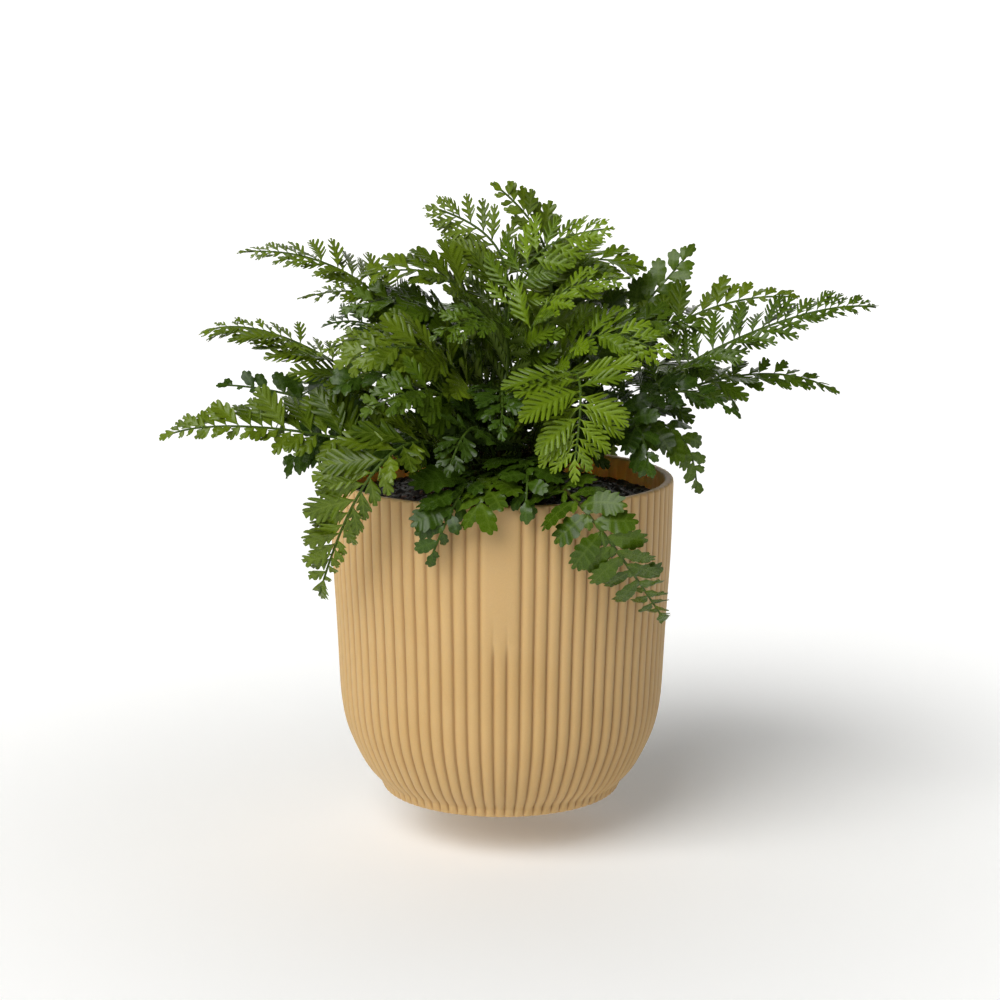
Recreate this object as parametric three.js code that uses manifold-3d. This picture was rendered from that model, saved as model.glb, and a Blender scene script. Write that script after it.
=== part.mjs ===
// A potted fern: a ribbed plastic pot, the soil in it, a scaly crown and one body for each frond.
// Millimetres, +Z up, the front of the pot faces -Y, and the origin is the centre of the foot.
import * as THREE from 'three';
import { mergeVertices } from 'three/addons/utils/BufferGeometryUtils.js';
import Module from 'manifold-3d';

// ---------- driving dimensions ----------
const GAP = 0.3; // between neighbours that touch
const POT = {
  height: 130, // foot to rim
  rim: 70, // outer radius over the ribs, at the rim
  wall: 3.6, // over the ribs
  floor: 4,
  ribs: 80,
  ribDepth: 1.3,
  panelRibs: 3, // pitches of the ribs that the smooth panel at the front is wide
  panelFoot: 78, // height where the ribs start again below the panel
};
// height and outer radius over the ribs, from the foot to the rim
const POT_PROFILE = [[0, 48], [5, 50.4], [12, 56.5], [22, 61.6], [41, 66.2], [78, 68], [130, POT.rim]];
// height and radius of the inside, from the floor to the rim
const POT_INSIDE = [[POT.floor, 47.5], [26, 59.2], [POT.height, POT.rim - POT.wall]];
const INSIDE_SIDES = 32;
const SOIL = { edge: 120.5, middle: 124.5, rings: 2, wave: 0.7 };
const CROWN = { radius: 4.6, top: 132, shoulder: 127, bottom: 116.5, sides: 8 };
const SCALES = { count: 14, length: 7, radius: 0.9, lean: 0.22, spread: [0.86, 0.51], height: [128, 131.5] };
// how every crozier is coiled: its points, its sweep in radians, and what is left of the coil's
// radius at its end
const COIL = { points: 9, sweep: 1.9 * Math.PI, inner: 0.38, root: 124.5, bulge: 3, steps: 15 };
// height of the neck, radius of the coil and of the young stalk, and where it leans
const CROZIERS = [
  { neck: 150, coil: 3.6, stalk: 1.1, lean: [-9, -12], foot: [-2.4, -2.4] },
  { neck: 141, coil: 2.8, stalk: 1.0, lean: [7, 4], foot: [2.6, 1.6] },
];
const STEM = {
  width: 1.7, // at the soil
  tip: 1.0, // at the end of the blade
  depth: 1.1, // thickness at the soil
  buried: 7, // below the soil's face
  straight: 1.5, // upright above the soil's face
  rise: 26, // least height that a stem sets out for
  lean: 0.2, // share of the way out to the crest at the first bend
  lift: 0.62, // share of the way up to the crest at the first bend
  steps: 2, // of the bare stalk
  clear: 1.3, // between the edges of two stems
  samples: 140,
};
const BLADE = {
  thickness: 0.7,
  pitch: 15.5, // between leaflets on one side
  fewest: 6, // leaflets on a stem
  clear: 1.9, // between the middle faces of two fronds' leaflets
  ownClear: 0.9, // between the middle faces of one frond's leaflets
  potClear: 1.2,
  sample: 1.0,
};
const LEAFLET = {
  lead: [72, 60], // degrees from the stem, at the blade's start and at its tip
  halfWidth: 0.4, // share of the pitch
  narrowing: 0.4, // share of that width lost at the tip
  slim: 0.3, // largest half width as a share of the length
  droop: 0.12, // fall of its tip as a share of its length
  small: 8, // length below which its outline is plain
  first: 0.62, // length at the blade's start as a share of the longest
  swell: 1.9, // how soon the longest is reached
  taper: 0.8, // share of the length lost at the tip
  taperPower: 1.7,
  end: 0.4, // length of the last leaflet as a share of the longest
  endHalfWidth: 0.25, // share of its own length
};
// a leaflet that meets another is lifted or lowered by so many degrees, and then shortened
const TRIES = { sizes: [1, 0.78, 0.55], lifts: [0, 15, -15, 30, -30] };
// the spiral in the crown: seat k stands at step x sqrt(first + k) from the axis
const SEATS = { count: 60, first: 4, step: 2.8, turn: 137.5, share: 0.25 };
const HEADROOM = 4; // of a hole above the soil

// Outlines of a leaflet from its hind corner to its fore corner: along its rib, across its rib,
// both as shares of its length and half width.
const OUTLINES = {
  lobed: [[0.28, -0.9], [0.4, -0.3], [0.64, -0.85], [0.68, -0.25], [1, 0], [0.56, 0.3], [0.44, 1]],
  fine: [[0.36, -1], [0.5, -0.28], [1, 0], [0.56, 0.28], [0.5, 1]],
  broad: [[0.42, -1.05], [0.84, -0.7], [1, 0.1], [0.76, 0.9], [0.36, 1]],
  small: [[0.55, -0.9], [1, 0], [0.5, 0.9]],
};
const COLOURS = { fine: 0x6f9a35, lobed: 0x4f7d2c, broad: 0x2f5a24 };

// Each frond: name, leaf form, crest of its stem, tip, length of its longest leaflets, where its
// blade starts along the stem, and the turn of its blade about the stem in degrees.
const FRONDS = [
  ['front_bright', 'fine', [26, -50, 172], [36, -78, 140], 30, 0.36, 15],
  ['front_right_droop', 'broad', [41, -67, 131], [66, -62, 84], 19, 0.36, 25],
  ['front_left_droop', 'lobed', [-58, -44, 138], [-72, -46, 88], 24, 0.36, -35],
  ['front_left_big', 'lobed', [-28, -44, 186], [-62, -52, 182], 26, 0.34, -45],
  ['left_long', 'lobed', [-68, -22, 158], [-133, -25, 150], 25, 0.3, -35],
  ['right_long', 'fine', [96, -8, 190], [150, -8, 197], 21, 0.34, 30],
  ['left_second', 'fine', [-72, -4, 184], [-121, 2, 181], 22, 0.34, -30],
  ['left_round', 'broad', [-74, 16, 167], [-113, 18, 165], 17, 0.4, -20],
  ['left_upper', 'fine', [-58, 2, 209], [-104, 4, 219], 21, 0.38, -30],
  ['left_upper_back', 'fine', [-52, 32, 199], [-84, 38, 198], 18, 0.4, -20],
  ['left_dark_back', 'fine', [-50, 50, 184], [-79, 60, 186], 18, 0.4, -20],
  ['top_left', 'fine', [-26, 8, 212], [-22, 14, 241], 24, 0.42, -55],
  ['top_spire', 'lobed', [12, 6, 220], [-4, 2, 249], 22, 0.42, -50],
  ['top_right', 'fine', [26, -8, 217], [50, -10, 231], 22, 0.42, 40],
  ['upper_right_flat', 'lobed', [28, 18, 206], [62, 22, 214], 20, 0.4, 30],
  ['upper_left_flat', 'lobed', [-24, -14, 206], [-58, -16, 209], 20, 0.42, -30],
  ['right_up_broad', 'broad', [58, 24, 198], [78, 28, 221], 14, 0.5, 10],
  ['right_upper', 'lobed', [76, 14, 200], [121, 12, 203], 20, 0.38, 30],
  ['right_low', 'lobed', [92, 4, 170], [136, 4, 164], 21, 0.36, 35],
  ['right_low_broad', 'broad', [66, -24, 168], [94, -28, 158], 17, 0.4, 30],
  ['right_droop', 'broad', [65, -18, 157], [80, -20, 126], 17, 0.4, 35],
  ['front_centre_low', 'broad', [4, -60, 139], [-8, -82, 120], 15, 0.36, 0],
  ['front_left_small', 'broad', [-22, -62, 139], [-28, -79, 108], 16, 0.36, 0],
  ['left_low_dark', 'broad', [-68, 0, 144], [-90, 0, 122], 17, 0.36, -25],
  ['centre_left_fine', 'fine', [-2, -30, 196], [-26, -46, 192], 21, 0.4, -30],
  ['centre_right_fine', 'fine', [22, -26, 206], [50, -28, 213], 21, 0.4, 30],
  ['front_left_lobed', 'lobed', [-26, -56, 172], [-52, -66, 165], 22, 0.36, -45],
  ['front_centre_dark', 'lobed', [-10, -54, 158], [-20, -76, 143], 20, 0.36, -15],
  ['front_right_arch', 'fine', [34, -32, 190], [64, -46, 184], 24, 0.38, 40],
  ['right_mid', 'broad', [46, -38, 170], [66, -58, 158], 18, 0.4, 35],
  ['right_back_broad', 'lobed', [50, 6, 190], [82, 2, 188], 20, 0.4, 30],
  ['left_mid_broad', 'broad', [-44, -20, 174], [-68, -30, 166], 18, 0.4, -40],
  ['centre_low_left', 'broad', [-36, -40, 152], [-52, -60, 142], 16, 0.36, -20],
  ['centre_low_right', 'broad', [20, -58, 146], [28, -82, 134], 16, 0.36, 20],
  ['centre_high_left', 'lobed', [-34, -6, 194], [-60, -10, 190], 20, 0.4, -30],
  ['centre_mid', 'lobed', [0, -50, 172], [0, -76, 158], 22, 0.36, 0],
  ['left_inner', 'fine', [-44, -26, 190], [-70, -34, 184], 18, 0.36, -35],
  ['back_middle', 'fine', [-4, 62, 184], [-8, 122, 158], 25, 0.34, 0],
  ['back_left', 'lobed', [-40, 58, 176], [-66, 106, 150], 25, 0.34, 10],
  ['back_right', 'lobed', [38, 56, 180], [62, 108, 156], 25, 0.34, -10],
  ['back_left_side', 'broad', [-60, 38, 158], [-98, 66, 134], 19, 0.36, 10],
  ['back_right_side', 'lobed', [62, 44, 168], [102, 74, 146], 22, 0.36, -10],
  ['back_low_left', 'lobed', [-28, 66, 142], [-42, 82, 92], 21, 0.36, 0],
  ['back_low_right', 'broad', [28, 66, 143], [44, 84, 96], 19, 0.36, 0],
  ['back_upright', 'fine', [10, 32, 206], [14, 68, 222], 22, 0.4, 0],
  ['back_upright_left', 'lobed', [-26, 40, 190], [-46, 72, 188], 21, 0.4, 0],
  ['back_upright_right', 'lobed', [32, 38, 194], [52, 72, 194], 21, 0.4, 0],
];

const UP = new THREE.Vector3(0, 0, 1);
const vec = (p) => new THREE.Vector3(...p);
const rad = THREE.MathUtils.degToRad;
const wasm = await Module();
wasm.setup();

// ---------- closed meshes ----------

/** A growing list of points and triangles that ends as one indexed geometry. */
class Body {
  constructor() {
    this.points = [];
    this.faces = [];
  }

  point(p) {
    this.points.push(p.x, p.y, p.z);
    return this.points.length / 3 - 1;
  }

  quad(a, b, c, d) {
    this.faces.push(a, b, c, a, c, d);
  }

  geometry() {
    const shape = new THREE.BufferGeometry();
    shape.setAttribute('position', new THREE.Float32BufferAttribute(this.points, 3));
    shape.setIndex(this.faces);
    return shape;
  }
}

/** Linear reading of a [height, radius] list. */
function readProfile(profile, z) {
  const next = Math.max(1, profile.findIndex(([height]) => height >= z));
  const [z0, r0] = profile[next - 1];
  const [z1, r1] = profile[next];
  return r0 + ((r1 - r0) * (z - z0)) / (z1 - z0);
}

function toSolid(geometry) {
  const bare = geometry.clone();
  bare.deleteAttribute('normal');
  bare.deleteAttribute('uv');
  const merged = mergeVertices(bare, 1e-4);
  return new wasm.Manifold(new wasm.Mesh({
    numProp: 3,
    vertProperties: new Float32Array(merged.attributes.position.array),
    triVerts: new Uint32Array(merged.index.array),
  }));
}

function toGeometry(solid) {
  const mesh = solid.getMesh();
  const shape = new THREE.BufferGeometry();
  shape.setAttribute('position', new THREE.Float32BufferAttribute(mesh.vertProperties, 3));
  shape.setIndex(Array.from(mesh.triVerts));
  return shape;
}

// ---------- pot ----------

/** Ribbed shell: two points a rib outside, plain sides inside, flat foot and lip. */
function potGeometry() {
  const body = new Body();
  const around = POT.ribs * 2;
  const step = (2 * Math.PI) / around;
  const front = -Math.PI / 2;
  const panelHalf = (POT.panelRibs - 0.5) * step; // short of the grooves on its two sides
  const ring = (z, radius) => Array.from({ length: around }, (_, i) => {
    const angle = front + i * step;
    const fromFront = Math.min(i, around - i) * step;
    const smooth = z >= POT.panelFoot && fromFront < panelHalf;
    const valley = i % 2 === 1 && !smooth;
    const r = radius - (valley ? POT.ribDepth : 0);
    return body.point(new THREE.Vector3(r * Math.cos(angle), r * Math.sin(angle), z));
  });
  const plainRing = ([z, radius]) => Array.from({ length: INSIDE_SIDES }, (_, i) => {
    const angle = front + (i * 2 * Math.PI) / INSIDE_SIDES;
    return body.point(new THREE.Vector3(radius * Math.cos(angle), radius * Math.sin(angle), z));
  });
  const outside = POT_PROFILE.slice(1).map(([z, radius]) => ring(z, radius));
  const share = around / INSIDE_SIDES;
  const bridge = (ribbed, plain, flip) => {
    for (let i = 0; i < INSIDE_SIDES; i++) {
      const j = (i + 1) % INSIDE_SIDES;
      const tie = (a, b, c) => body.faces.push(...(flip ? [c, b, a] : [a, b, c]));
      for (let k = i * share; k < (i + 1) * share; k++) tie(ribbed[k], ribbed[(k + 1) % around], plain[i]);
      tie(ribbed[((i + 1) * share) % around], plain[j], plain[i]);
    }
  };
  for (let k = 1; k < outside.length; k++) {
    const [low, high] = [outside[k - 1], outside[k]];
    for (let i = 0; i < around; i++) {
      const j = (i + 1) % around;
      body.quad(low[i], low[j], high[j], high[i]);
    }
  }
  const foot = body.point(new THREE.Vector3(0, 0, 0));
  const footRing = plainRing(POT_PROFILE[0]);
  bridge(outside[0], footRing, true);
  footRing.forEach((p, i) => body.faces.push(foot, footRing[(i + 1) % INSIDE_SIDES], p));
  const inside = POT_INSIDE.map(plainRing);
  for (let k = 1; k < inside.length; k++) {
    for (let i = 0; i < INSIDE_SIDES; i++) {
      const j = (i + 1) % INSIDE_SIDES;
      body.quad(inside[k][i], inside[k][j], inside[k - 1][j], inside[k - 1][i]);
    }
  }
  const floor = body.point(new THREE.Vector3(0, 0, POT.floor));
  inside[0].forEach((p, i) => body.faces.push(floor, p, inside[0][(i + 1) % INSIDE_SIDES]));
  bridge(outside.at(-1), inside.at(-1), false);
  return body.geometry();
}

// ---------- soil ----------

const soilHeight = (r, angle) => {
  const edge = readProfile(POT_INSIDE, SOIL.edge) - GAP;
  const rise = Math.cos((Math.min(r / edge, 1) * Math.PI) / 2);
  return SOIL.edge + (SOIL.middle - SOIL.edge) * rise + SOIL.wave * rise * Math.sin(3 * angle + r / 6);
};

/** Soil that fills the pot to under its rim, with a low mound and a plain hole for each stem. */
function soilGeometry(holes) {
  const body = new Body();
  const ring = (z, r) => Array.from({ length: INSIDE_SIDES }, (_, i) => {
    const angle = -Math.PI / 2 + (i * 2 * Math.PI) / INSIDE_SIDES;
    return body.point(new THREE.Vector3(r * Math.cos(angle), r * Math.sin(angle), z ?? soilHeight(r, angle)));
  });
  const base = POT.floor + GAP;
  const wall = (z) => readProfile(POT_INSIDE, z) - GAP;
  const rings = [base, POT_INSIDE[1][0], SOIL.edge].map((z) => ring(z, wall(z)));
  for (let k = SOIL.rings; k > 0; k--) {
    rings.push(ring(undefined, (wall(SOIL.edge) * k) / (SOIL.rings + 1)));
  }
  for (let k = 1; k < rings.length; k++) {
    for (let i = 0; i < INSIDE_SIDES; i++) {
      const j = (i + 1) % INSIDE_SIDES;
      body.quad(rings[k - 1][i], rings[k - 1][j], rings[k][j], rings[k][i]);
    }
  }
  const foot = body.point(new THREE.Vector3(0, 0, base));
  const top = body.point(new THREE.Vector3(0, 0, soilHeight(0, 0)));
  for (let i = 0; i < INSIDE_SIDES; i++) {
    const j = (i + 1) % INSIDE_SIDES;
    body.faces.push(foot, rings[0][j], rings[0][i]);
    body.faces.push(top, rings.at(-1)[i], rings.at(-1)[j]);
  }
  const cut = holes.map((hole) => toSolid(hole)).reduce((all, hole) => all.add(hole));
  return toGeometry(toSolid(body.geometry()).subtract(cut));
}

/** Upright prism that clears a stem's buried end. */
function stemHole(root, angle) {
  const half = STEM.width / 2 + GAP;
  const depth = STEM.buried + GAP;
  const height = depth + STEM.straight + HEADROOM;
  const box = new THREE.BoxGeometry(2 * half, STEM.depth + 2 * GAP, height);
  box.rotateZ(angle);
  box.translate(root.x, root.y, root.z - STEM.straight - depth + height / 2);
  return box;
}

// ---------- space taken ----------

/** Remembers sampled points of what stands already, and tells whether new ones keep clear. */
class Room {
  constructor(clear) {
    this.clear = clear;
    this.cells = new Map();
  }

  key(i, j, k) {
    return ((i + 512) * 1024 + j + 512) * 1024 + k + 512;
  }

  cell(p) {
    return [p.x, p.y, p.z].map((v) => Math.floor(v / this.clear));
  }

  add(points, owner) {
    for (const p of points) {
      const key = this.key(...this.cell(p));
      if (!this.cells.has(key)) this.cells.set(key, []);
      this.cells.get(key).push([p, owner]);
    }
  }

  /** True where a point lies too near one of another frond, or of a leaflet on its own side. */
  near(p, owner, clear = this.clear) {
    const [ci, cj, ck] = this.cell(p);
    for (let i = ci - 1; i <= ci + 1; i++) {
      for (let j = cj - 1; j <= cj + 1; j++) {
        for (let k = ck - 1; k <= ck + 1; k++) {
          for (const [q, other] of this.cells.get(this.key(i, j, k)) ?? []) {
            const own = other.name === owner.name;
            if (own && (other.side !== owner.side || !owner.side)) continue;
            if (p.distanceTo(q) < (own ? BLADE.ownClear : clear)) return true;
          }
        }
      }
    }
    return false;
  }

  free(points, owner) {
    return points.every((p) => clearOfPot(p) && !this.near(p, owner));
  }
}

/** True above the soil or outside the pot, with room for half a blade's thickness. */
function clearOfPot(p) {
  const r = Math.hypot(p.x, p.y);
  const margin = BLADE.potClear;
  const outer = readProfile(POT_PROFILE, THREE.MathUtils.clamp(p.z, 0, POT.height)) + margin;
  const inner = readProfile(POT_INSIDE, THREE.MathUtils.clamp(p.z, POT.floor, POT.height)) - margin;
  if (p.z < SOIL.middle + margin && r < inner) return false;
  return p.z > POT.height + margin || r > outer || (r < inner && p.z > SOIL.middle + margin);
}

// ---------- fronds ----------

/** Seats of the stems in the crown, on the spiral that a fern grows by. */
function crownSeats() {
  return Array.from({ length: SEATS.count }, (_, k) => {
    const r = SEATS.step * Math.sqrt(SEATS.first + k);
    const angle = rad(SEATS.turn * k);
    return new THREE.Vector3(r * Math.cos(angle), r * Math.sin(angle), 0);
  });
}

/** Free seats, nearest first to a set share of the way to the frond's crest. */
function seatsByWish(seats, crest) {
  const wish = new THREE.Vector3(crest.x, crest.y, 0).multiplyScalar(SEATS.share);
  return seats.toSorted((a, b) => a.distanceTo(wish) - b.distanceTo(wish));
}

/** Curve of a stem: upright at its root, over its crest, and on to the tip. */
function stemCurve(root, crest, tip) {
  const rise = new THREE.Vector3(
    root.x + STEM.lean * (crest.x - root.x),
    root.y + STEM.lean * (crest.y - root.y),
    root.z + STEM.lift * Math.max(crest.z - root.z, STEM.rise),
  );
  const inner = root.distanceTo(crest);
  const t = inner / (inner + crest.distanceTo(tip));
  const s = 1 - t;
  const bow = crest.clone()
    .addScaledVector(root, -s * s * s)
    .addScaledVector(rise, -3 * s * s * t)
    .addScaledVector(tip, -t * t * t)
    .divideScalar(3 * s * t * t);
  return new THREE.CubicBezierCurve3(root, rise, bow, tip);
}

/** Position and blade directions at share u of the stem. */
function stemFrame(frond, u) {
  const at = frond.curve.getPointAt(u);
  const along = frond.curve.getTangentAt(u);
  const side = frond.across.clone().addScaledVector(along, -frond.across.dot(along)).normalize();
  const face = along.clone().cross(side);
  const turn = rad(frond.roll) * Math.min(1, u / frond.start);
  side.applyAxisAngle(along, turn);
  face.applyAxisAngle(along, turn);
  return { at, along, side, face };
}

/** Sampled points of a triangle. */
function sampleTriangle(a, b, c, step) {
  const n = Math.max(1, Math.ceil(Math.max(a.distanceTo(b), b.distanceTo(c), c.distanceTo(a)) / step));
  const points = [];
  for (let i = 0; i <= n; i++) {
    for (let j = 0; j <= n - i; j++) {
      const [toB, toC] = [b.clone().sub(a), c.clone().sub(a)];
      points.push(a.clone().addScaledVector(toB, i / n).addScaledVector(toC, j / n));
    }
  }
  return points;
}

/**
 * A leaflet's middle face: its free points, and the triangles over them and its two root corners.
 * root: the hind and fore corners; rib: its direction; wide: across it; face: out of the blade.
 */
function leafletFace(outline, root, rib, wide, face, length, halfWidth) {
  const middle = root[0].clone().lerp(root[1], 0.5);
  const points = outline.map(([u, v]) => middle.clone()
    .addScaledVector(rib, u * length)
    .addScaledVector(wide, v * halfWidth)
    .addScaledVector(face, -LEAFLET.droop * length * u * u));
  const flat = [root[0], ...points, root[1]].map((p) => {
    const from = p.clone().sub(middle);
    return new THREE.Vector2(from.dot(rib), from.dot(wide));
  });
  return { points, triangles: THREE.ShapeUtils.triangulateShape(flat, []) };
}

/** Tries a leaflet flat, then lifted or lowered, then shorter, until it keeps clear of the rest. */
function placeLeaflet(room, frond, root, frame, hand, { lead, length, halfWidth, form }) {
  const tries = TRIES.sizes.flatMap((size) => TRIES.lifts.map((lift) => [size, lift]));
  for (const [size, lift] of tries) {
    const wing = frame.side.clone().multiplyScalar(hand).applyAxisAngle(frame.along, hand * rad(lift));
    const face = frame.face.clone().applyAxisAngle(frame.along, hand * rad(lift));
    const rib = wing.clone().multiplyScalar(Math.sin(lead)).addScaledVector(frame.along, Math.cos(lead));
    const wide = frame.along.clone().multiplyScalar(Math.sin(lead)).addScaledVector(wing, -Math.cos(lead));
    const leaf = leafletFace(OUTLINES[form], root, rib, wide, face, size * length, halfWidth);
    const all = [root[0], ...leaf.points, root[1]];
    const samples = leaf.triangles.flatMap((t) => sampleTriangle(...t.map((i) => all[i]), BLADE.sample));
    const owner = { name: frond.name, side: lead > 0 ? hand : 0 };
    if (room.free(samples, owner)) {
      room.add(samples, owner);
      return { ...leaf, face };
    }
  }
  return null;
}

/** Adds a leaflet's two faces and its edge to a body, from the four corners of its root. */
function addLeaflet(body, leaf, topRoot, lowRoot, hand) {
  const half = BLADE.thickness / 2;
  const top = leaf.points.map((p) => body.point(p.clone().addScaledVector(leaf.face, half)));
  const low = leaf.points.map((p) => body.point(p.clone().addScaledVector(leaf.face, -half)));
  const topAll = [topRoot[0], ...top, topRoot[1]];
  const lowAll = [lowRoot[0], ...low, lowRoot[1]];
  for (const [a, b, c] of leaf.triangles) {
    const [p, q] = hand > 0 ? [b, c] : [c, b];
    body.faces.push(topAll[a], topAll[q], topAll[p], lowAll[a], lowAll[p], lowAll[q]);
  }
  for (let i = 1; i < topAll.length; i++) {
    if (hand > 0) body.quad(topAll[i - 1], topAll[i], lowAll[i], lowAll[i - 1]);
    else body.quad(lowAll[i - 1], lowAll[i], topAll[i], topAll[i - 1]);
  }
}

/** Section of a stem at one station: top left, top right, low right, low left. */
function stemRing(body, { at, side, face }, width, depth) {
  return [[1, 1], [-1, 1], [-1, -1], [1, -1]].map(([s, f]) => body.point(at.clone()
    .addScaledVector(side, (s * width) / 2)
    .addScaledVector(face, (f * depth) / 2)));
}

/** A frond's stem from one seat, with its stations: the bare stalk first, then the blade's. */
function stemFrom(seat, [name, form, crest, tip, reach, start, roll]) {
  const [over, end] = [vec(crest), vec(tip)];
  const height = soilHeight(Math.hypot(seat.x, seat.y), Math.atan2(seat.y, seat.x));
  const root = seat.clone().setZ(height + STEM.straight);
  const across = UP.clone().cross(end.clone().sub(root).setZ(0)).normalize();
  const frond = { name, form, reach, start, roll, root, across, curve: stemCurve(root, over, end) };
  const length = frond.curve.getLength();
  const last = 1 - (LEAFLET.end * reach) / length;
  const leaflets = Math.max(BLADE.fewest, Math.round((2 * (last - start) * length) / BLADE.pitch));
  const stalk = Array.from({ length: STEM.steps }, (_, i) => ((i + 1) * start) / STEM.steps);
  const rest = Array.from({ length: leaflets }, (_, i) => start + ((last - start) * (i + 1)) / leaflets);
  frond.shares = [...stalk, ...rest];
  frond.frames = frond.shares.map((u) => stemFrame(frond, u));
  frond.samples = stemSamples(frond);
  return frond;
}

/** Gives a frond the nearest seat from which its stem runs clear of those that stand already. */
function planFrond(row, seats, room) {
  for (const seat of seatsByWish(seats, vec(row[2]))) {
    const frond = stemFrom(seat, row);
    const owner = { name: frond.name, side: 0 };
    if (frond.samples.every((p) => !room.near(p, owner, STEM.clear))) {
      room.add(frond.samples, owner);
      seats.splice(seats.indexOf(seat), 1);
      return frond;
    }
  }
  throw new Error(`no seat clears the stem of ${row[0]}`);
}

const stemWidth = (u) => STEM.width + (STEM.tip - STEM.width) * u;
const stemDepth = (u) => STEM.depth + (BLADE.thickness - STEM.depth) * u;

/** Points along the four edges of a stem, so that leaflets of others keep off it. */
function stemSamples(frond) {
  const body = new Body();
  const shares = Array.from({ length: STEM.samples }, (_, i) => i / (STEM.samples - 1));
  shares.forEach((u) => stemRing(body, stemFrame(frond, u), stemWidth(u), stemDepth(u)));
  return Array.from({ length: body.points.length / 3 }, (_, i) => vec(body.points.slice(3 * i, 3 * i + 3)));
}

/** Length of a leaflet as a share of the longest, from the blade's start at 0 to its tip at 1. */
const leafletShare = (s) => (
  Math.min(1, LEAFLET.first + LEAFLET.swell * s) * (1 - LEAFLET.taper * s ** LEAFLET.taperPower));

/** One frond: buried foot, bare stalk, and a blade of leaflets by turns left and right. */
function frondGeometry(frond, room) {
  const body = new Body();
  const standing = { side: frond.across, face: UP.clone().cross(frond.across) };
  const foot = frond.root.clone().setZ(frond.root.z - STEM.straight - STEM.buried);
  const rings = [
    stemRing(body, { ...standing, at: foot }, STEM.width, STEM.depth),
    stemRing(body, { ...standing, at: frond.root }, STEM.width, STEM.depth),
    ...frond.frames.map((frame, i) => {
      const u = frond.shares[i];
      return stemRing(body, frame, stemWidth(u), stemDepth(u));
    }),
  ];
  const [first, last] = [rings[0], rings.at(-1)];
  body.quad(first[3], first[2], first[1], first[0]);
  const bladeFrom = STEM.steps + 1;
  for (let k = 1; k < rings.length; k++) {
    const [low, high] = [rings[k - 1], rings[k]];
    const hand = k % 2 ? 1 : -1;
    const leaf = k > bladeFrom ? sideLeaflet(room, frond, k, hand) : null;
    for (let i = 0; i < 4; i++) {
      const j = (i + 1) % 4;
      const taken = leaf && i === (hand > 0 ? 3 : 1);
      if (!taken) body.quad(low[i], low[j], high[j], high[i]);
    }
    if (!leaf) continue;
    const [top, under] = hand > 0 ? [0, 3] : [1, 2];
    addLeaflet(body, leaf, [low[top], high[top]], [low[under], high[under]], hand);
  }
  const end = endLeaflet(room, frond);
  if (end) addLeaflet(body, end, [last[1], last[0]], [last[2], last[3]], -1);
  else body.quad(last[0], last[1], last[2], last[3]);
  return body.geometry();
}

/** The leaflet on the segment of the stem that ends at ring k. */
function sideLeaflet(room, frond, k, hand) {
  const [hind, fore] = [frond.frames[k - 3], frond.frames[k - 2]];
  const s = (frond.shares[k - 2] - frond.start) / (1 - frond.start);
  const length = frond.reach * leafletShare(s);
  const lead = rad(THREE.MathUtils.lerp(...LEAFLET.lead, s));
  const widest = LEAFLET.halfWidth * BLADE.pitch * (1 - LEAFLET.narrowing * s);
  const halfWidth = Math.min(widest, LEAFLET.slim * length);
  const offset = (hand * stemWidth(frond.shares[k - 2])) / 2;
  const root = [hind, fore].map((frame) => frame.at.clone().addScaledVector(frame.side, offset));
  const form = length < LEAFLET.small ? 'small' : frond.form;
  return placeLeaflet(room, frond, root, fore, hand, { lead, length, halfWidth, form });
}

/** The leaflet that ends the blade. */
function endLeaflet(room, frond) {
  const frame = frond.frames.at(-1);
  const half = STEM.tip / 2;
  const root = [-half, half].map((offset) => frame.at.clone().addScaledVector(frame.side, offset));
  const length = frond.reach * LEAFLET.end;
  const halfWidth = LEAFLET.endHalfWidth * length;
  return placeLeaflet(room, frond, root, frame, -1, { lead: 0, length, halfWidth, form: 'small' });
}

// ---------- crown ----------

/** A young frond still curled up: a stalk that rises from the crown into one turn of a coil. */
function crozier({ neck, coil, stalk, lean, foot }) {
  const base = new THREE.Vector3(foot[0], foot[1], COIL.root);
  const out = new THREE.Vector3(lean[0], lean[1], 0).normalize();
  const top = new THREE.Vector3(lean[0], lean[1], neck);
  const turn = Array.from({ length: COIL.points }, (_, i) => {
    const share = i / (COIL.points - 1);
    const angle = share * COIL.sweep;
    const r = coil * (1 - (1 - COIL.inner) * share);
    return top.clone()
      .addScaledVector(out, coil - r * Math.cos(angle))
      .addScaledVector(UP, r * Math.sin(angle));
  });
  const bend = base.clone().lerp(top, 0.5).addScaledVector(UP, COIL.bulge);
  const path = new THREE.CatmullRomCurve3([base, bend, ...turn], false, 'centripetal');
  const section = new THREE.Shape(Array.from({ length: 4 }, (_, i) => (
    new THREE.Vector2(stalk * Math.cos(i * 0.5 * Math.PI), stalk * Math.sin(i * 0.5 * Math.PI)))));
  return new THREE.ExtrudeGeometry(section, { steps: COIL.steps, extrudePath: path });
}

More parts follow.
